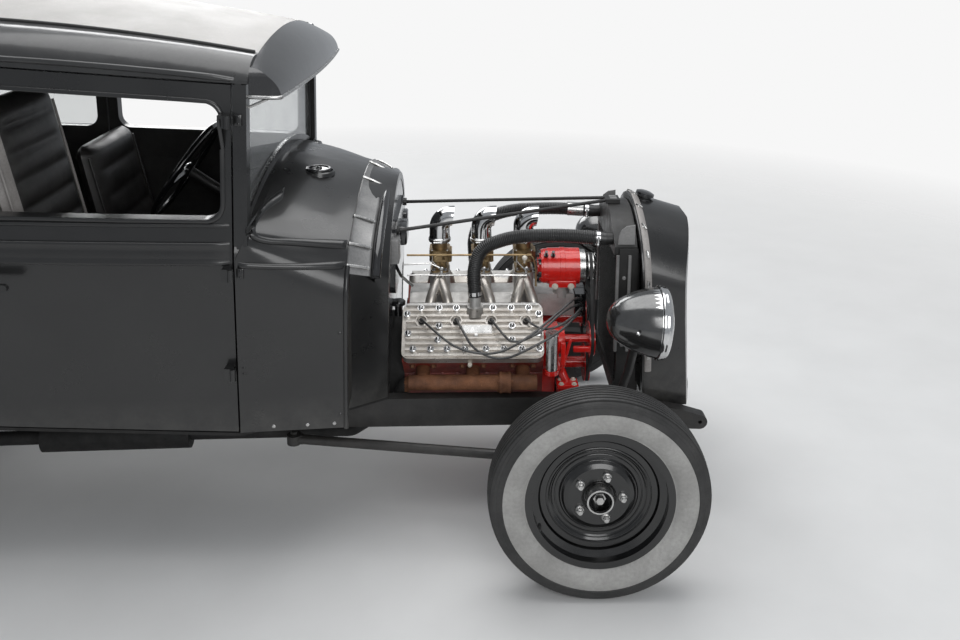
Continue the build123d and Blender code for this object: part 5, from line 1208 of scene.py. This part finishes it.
dials = Shape(BODY)
for y, radius in ((-0.065, 0.040), (0.030, 0.040), (0.105, 0.026), (0.165, 0.026)):
    found = hit(("dashboard",), (-1.6, y, 1.010), X)
    if found:
        dials.slot = 0
        bezel = ((-0.001, radius), (0.004, radius), (0.006, radius * 0.93), (0.004, radius * 0.88))
        dials.lathe(found[0], -X, bezel, 32, cap=False)
        dials.slot = 1
        dials.lathe(found[0], -X, ((0.001, radius * 0.9), (0.0022, radius * 0.9)), 32)
        dials.slot = 0
        turn = 0.6 + 9 * y
        needle = found[0] + Vector((-0.003, radius * 0.3 * cos(turn), radius * 0.3 * sin(turn)))
        dials.block(needle, (0.0012, radius * 0.7, 0.0016), Matrix.Rotation(turn, 3, "X"))
dials.give("dash_dials", (steel, gloss_black), slot="bright_metal")
boss = Shape(BODY)
column = Vector((-0.720, 0, 0.460)).normalized()
dome = ((0, 0.030), (0.006, 0.029), (0.013, 0.020), (0.016, 0.010), (0.017, 0))
boss.lathe(Vector((-1.480, 0.285, 1.020)) - column * 0.003, column, dome, 28)
boss.give("wheel_boss", chrome, "steering_wheel", slot="bright_metal")


# ---- visor rim and stays, roof seam, rear window reveal, fuel cap, screws at the cowl's foot

# The roof insert's seam: half width, where its rear edge lies, and its corners' radius
SEAM_HALF, SEAM_REAR, SEAM_CORNER = 0.457, -2.790, 0.110
CAP_X, CAP_Y = -0.910, -0.150
VISOR_Z = 1.4585
rim = Shape(BODY)
half = [(-1.060, 0.586), (-1.015, 0.587), (-0.985, 0.580), (-0.958, 0.560), (-0.947, 0.520), (-0.942, 0.420),
        (-0.934, 0.220)]
line = [(x, -y) for x, y in half] + [(-0.926, 0.0)] + [(x, y) for x, y in reversed(half)]
path = []
for p in curve_through([(x, y, 1.0) for x, y in line], 5):
    away = Vector((p.x + 1.150, p.y * 0.35, 0)).normalized()
    found = hit(("visor",), (p.x + away.x * 0.4, p.y + away.y * 0.4, VISOR_Z), -away)
    path.append(found[0] + away * 0.001 if found else Vector((p.x, p.y, VISOR_Z)))
rim.tube(path, 0.0052, 10)
rim.give("visor_rim", steel, slot="bright_metal")
stays = Shape(BODY)
for side in (-1, 1):
    stays.tube(((-1.052, side * 0.572, 1.420), (-0.985, side * 0.574, 1.452)), 0.0040, 8)
    stays.bolt((-1.052, side * 0.574, 1.420), (0, side, 0), 0.006, 0.005, "rivet")
stays.give("visor_stays", steel, slot="bright_metal")
seam = Shape(BODY)
path = []
bend = SEAM_REAR + SEAM_CORNER
right = line_of((-1.045, -SEAM_HALF), (bend, -SEAM_HALF), 30)
corner = [(bend - SEAM_CORNER * sin(t), -SEAM_HALF + SEAM_CORNER * (1 - cos(t)))
          for t in (pi / 2 * k / 8 for k in range(1, 9))]
inner = SEAM_HALF - SEAM_CORNER
across_rear = [(SEAM_REAR, -inner + 2 * inner * k / 12) for k in range(1, 12)]
outline = right + corner + across_rear + [(x, -y) for x, y in reversed(right + corner)]
for x, y in outline:
    found = hit(("roof", "roof_insert"), (x, y, 3), -Z)
    if found:
        path.append(found[0] + Vector((0, 0, 0.001)))
seam.tube(path, 0.0058, 8)
seam.give("roof_seam", rubber, slot="top_fabric")
surround = Shape(BODY)
path = []
for y, z in rounded(((-0.316, 1.150), (-0.316, 1.390), (0.316, 1.390), (0.316, 1.150)), 0.054):
    found = hit(("rear_body",), (-5, y, z), X)
    if found:
        path.append(found[0])
surround.tube(path, 0.0060, 8, loop=True)
surround.give("rear_window_reveal", enamel, slot="body_paint")
cap = Shape(BODY)
edge = ((0, 0.0425), (0.003, 0.0425), (0.0045, 0.040), (0.0045, 0.034), (0.0030, 0.032))
cap.lathe((CAP_X, CAP_Y, 1.1475), Z, edge, 40, cap=False)
cap.lathe((CAP_X, CAP_Y, 1.1480), Z, ((0, 0.012), (0.004, 0.011), (0.006, 0.006), (0.0065, 0)), 20)
cap.give("fuel_cap_rim", gloss_black, slot="bright_metal")
cap = Shape(BODY)
cap.lathe((CAP_X, CAP_Y, 1.1300), Z, ((0, 0.054), (0.011, 0.052), (0.014, 0.047)), 40, cap=False)
cap.give("fuel_cap_seat", enamel, slot="body_paint")
screws = Shape(BODY)
for side, hand in SIDES:
    side_bolts(screws, "cowl_skin", [(x, 0.446) for x in (-0.980, -0.880, -0.800)], side, 0.0062, 0.003,
               "rivet", BODY)
screws.give("cowl_foot_screws", steel, slot="bright_metal")


# ---- radiator shell: lace band, clips, cap, side plates and struts, core; lamp rivets and rims

SHELL = GROUND @ Matrix.Translation((0.215, 0, 0.360)) @ Matrix.Rotation(radians(-2.5), 4, "Y")
SHELL_MIDDLE = 0.34
LACE_POINTS = 90
LACE = ((0.0012, 0.001), (0.0035, 0.0038), (0.006, 0.0045), (0.020, 0.0045), (0.024, 0.001))
lace = Shape(SHELL)
rings = []
for x, rise in LACE:
    outline = girth(("radiator_shell",), x, SHELL_MIDDLE, LACE_POINTS, radians(128), SHELL)
    rings.append([point + normal * rise for point, normal, _ in outline])
shortest = min(len(r) for r in rings)
assert shortest > LACE_POINTS // 2, "the lace band misses the shell"
lace.skin([r[:shortest] for r in rings], sheet=True)
lace.give("shell_lace", pale_hide, crease=50, slot="body_paint")
clips = Shape(SHELL)
for point, normal, _ in girth(("radiator_shell",), 0.013, SHELL_MIDDLE, 15, radians(118), SHELL):
    clips.bolt(point + normal * 0.0040, normal, 0.0062, 0.004, "rivet")
    clips.block(point + normal * 0.0052, (0.024, 0.007, 0.004), normal.to_track_quat("Z", "X").to_matrix(),
                0.0012)
clips.give("shell_clips", steel, slot="bright_metal")
cap = Shape(SHELL)
profile = ((0, 0.036), (0.007, 0.036), (0.009, 0.026), (0.013, 0.026), (0.015, 0.033), (0.024, 0.032),
           (0.028, 0.022), (0.029, 0))
cap.lathe((0.046, 0, 0.669), (0.33, 0, 1), profile, 32)
cap.give("radiator_cap", gloss_black, slot="bright_metal")
TANK_END = ((0.112, 0.935), (0.114, 0.962), (0.122, 0.985), (0.140, 0.999), (0.168, 1.003), (0.168, 0.935))
tank = Shape()
for side in (-1, 1):
    tank.plate([(x, side * 0.2205, z) for x, z in TANK_END], (0, side * 0.004, 0), 0.001)
    for x in (0.112, 0.152):
        tank.tube(((x, side * 0.232, 0.900), (x, side * 0.234, 0.560)), 0.0058, 8)
    for z in (0.58, 0.70, 0.82):
        tank.bolt((0.135, side * 0.2275, z), (0, side, 0), 0.007, 0.005)
    tank.lathe((0.124, side * 0.012, 1.031), (1, 0, 0.05), ((-0.012, 0.0095), (0.012, 0.0095)), 6)
tank.give("radiator_plates", regulator_grey, slot="chassis_paint")
fins = Shape()
for k in range(44):
    for x in (0.1905, 0.1155):
        fins.block((x, 0, 0.450 + 0.0099 * k), (0.0060, 0.416, 0.0011))
for k in range(21):
    for x in (0.1895, 0.1165):
        fins.lathe((x, -0.200 + 0.020 * k, 0.445), Z, ((0, 0.0022), (0.440, 0.0022)), 6)
fins.give("radiator_fins", core_dark, slot="core_metal")
LAMP_X, LAMP_Y, LAMP_Z = 0.150, 0.455, 0.761
lamp_bits = Shape()
for side in (-1, 1):
    lamp_bits.bolt((0.128, side * 0.5595, 0.765), (0, side, 0), 0.0065, 0.004, "rivet")
    aim = Vector((cos(radians(4)), 0, -sin(radians(4))))
    middle = Vector((LAMP_X, side * LAMP_Y, LAMP_Z))
    lamp_bits.lathe(middle + aim * 0.052, aim, ((0, 0.1122), (0.002, 0.1158), (0.007, 0.1165),
                                                (0.012, 0.1152)), 64, cap=False)
    lamp_bits.bolt(middle + aim * 0.066 + Vector((0, 0, -0.113)), (0.1, 0, -1), 0.006, 0.010)
lamp_bits.give("lamp_rims", chrome, slot="bright_metal")


# ---- running gear: spring leaves and clamps, shackle and radius rod bolts

SPRING_X = -0.054
gear = Shape()
for x in (SPRING_X - 0.0225, SPRING_X + 0.0225):
    for share in (0.2, 0.4, 0.6, 0.8):
        path = []
        for k in range(41):
            y = -0.400 + 0.020 * k
            arch_up = 1 - (y / 0.43) ** 2
            low, high = 0.316 - 0.010 * arch_up, 0.324 + 0.020 * arch_up
            if high - low > 0.010 + 0.020 * abs(share - 0.1):
                path.append((x, y, low + (high - low) * share))
        gear.tube(path, 0.0016, 6)
for y in (-0.250, -0.055, 0.055, 0.250):
    gear.block((SPRING_X, y, 0.330 - 0.05 * y * y), (0.052, 0.014, 0.036), bevel=0.002)
for side in (-1, 1):
    for dx in (-0.026, 0.026):
        gear.bolt((SPRING_X + dx, side * 0.436, 0.322), (1 if dx > 0 else -1, 0, 0), 0.0095, 0.009)
    gear.bolt((-0.960, side * 0.372, 0.332), Z, 0.012, 0.012)
    gear.lathe((-0.930, side * 0.374, 0.3155), -X, ((0, 0.0175), (0.020, 0.0175)), 6)
gear.give("spring_leaves", chassis_black, slot="chassis_paint")
tail = Shape(BODY)
for side in (-1, 1):
    found = hit(("lamps",), (-4, side * 0.420, 0.600), X)
    if found:
        tail.lathe(found[0], -X, ((-0.012, 0.0450), (0.002, 0.0465), (0.004, 0.0440), (0.001, 0.0400)), 40,
                   cap=False)
tail.give("tail_lamp_rings", chrome, slot="bright_metal")


# ---- floor

FLOOR_HALF = 30.0
ground = bpy.data.meshes.new("floor")
ground.from_pydata([(x * FLOOR_HALF, y * FLOOR_HALF, 0) for x, y in ((-1, -1), (1, -1), (1, 1), (-1, 1))], [],
                   [(0, 1, 2, 3)])
ground.materials.append(floor_material)
ground_obj = bpy.data.objects.new("studio_floor", ground)
bpy.context.scene.collection.objects.link(ground_obj)
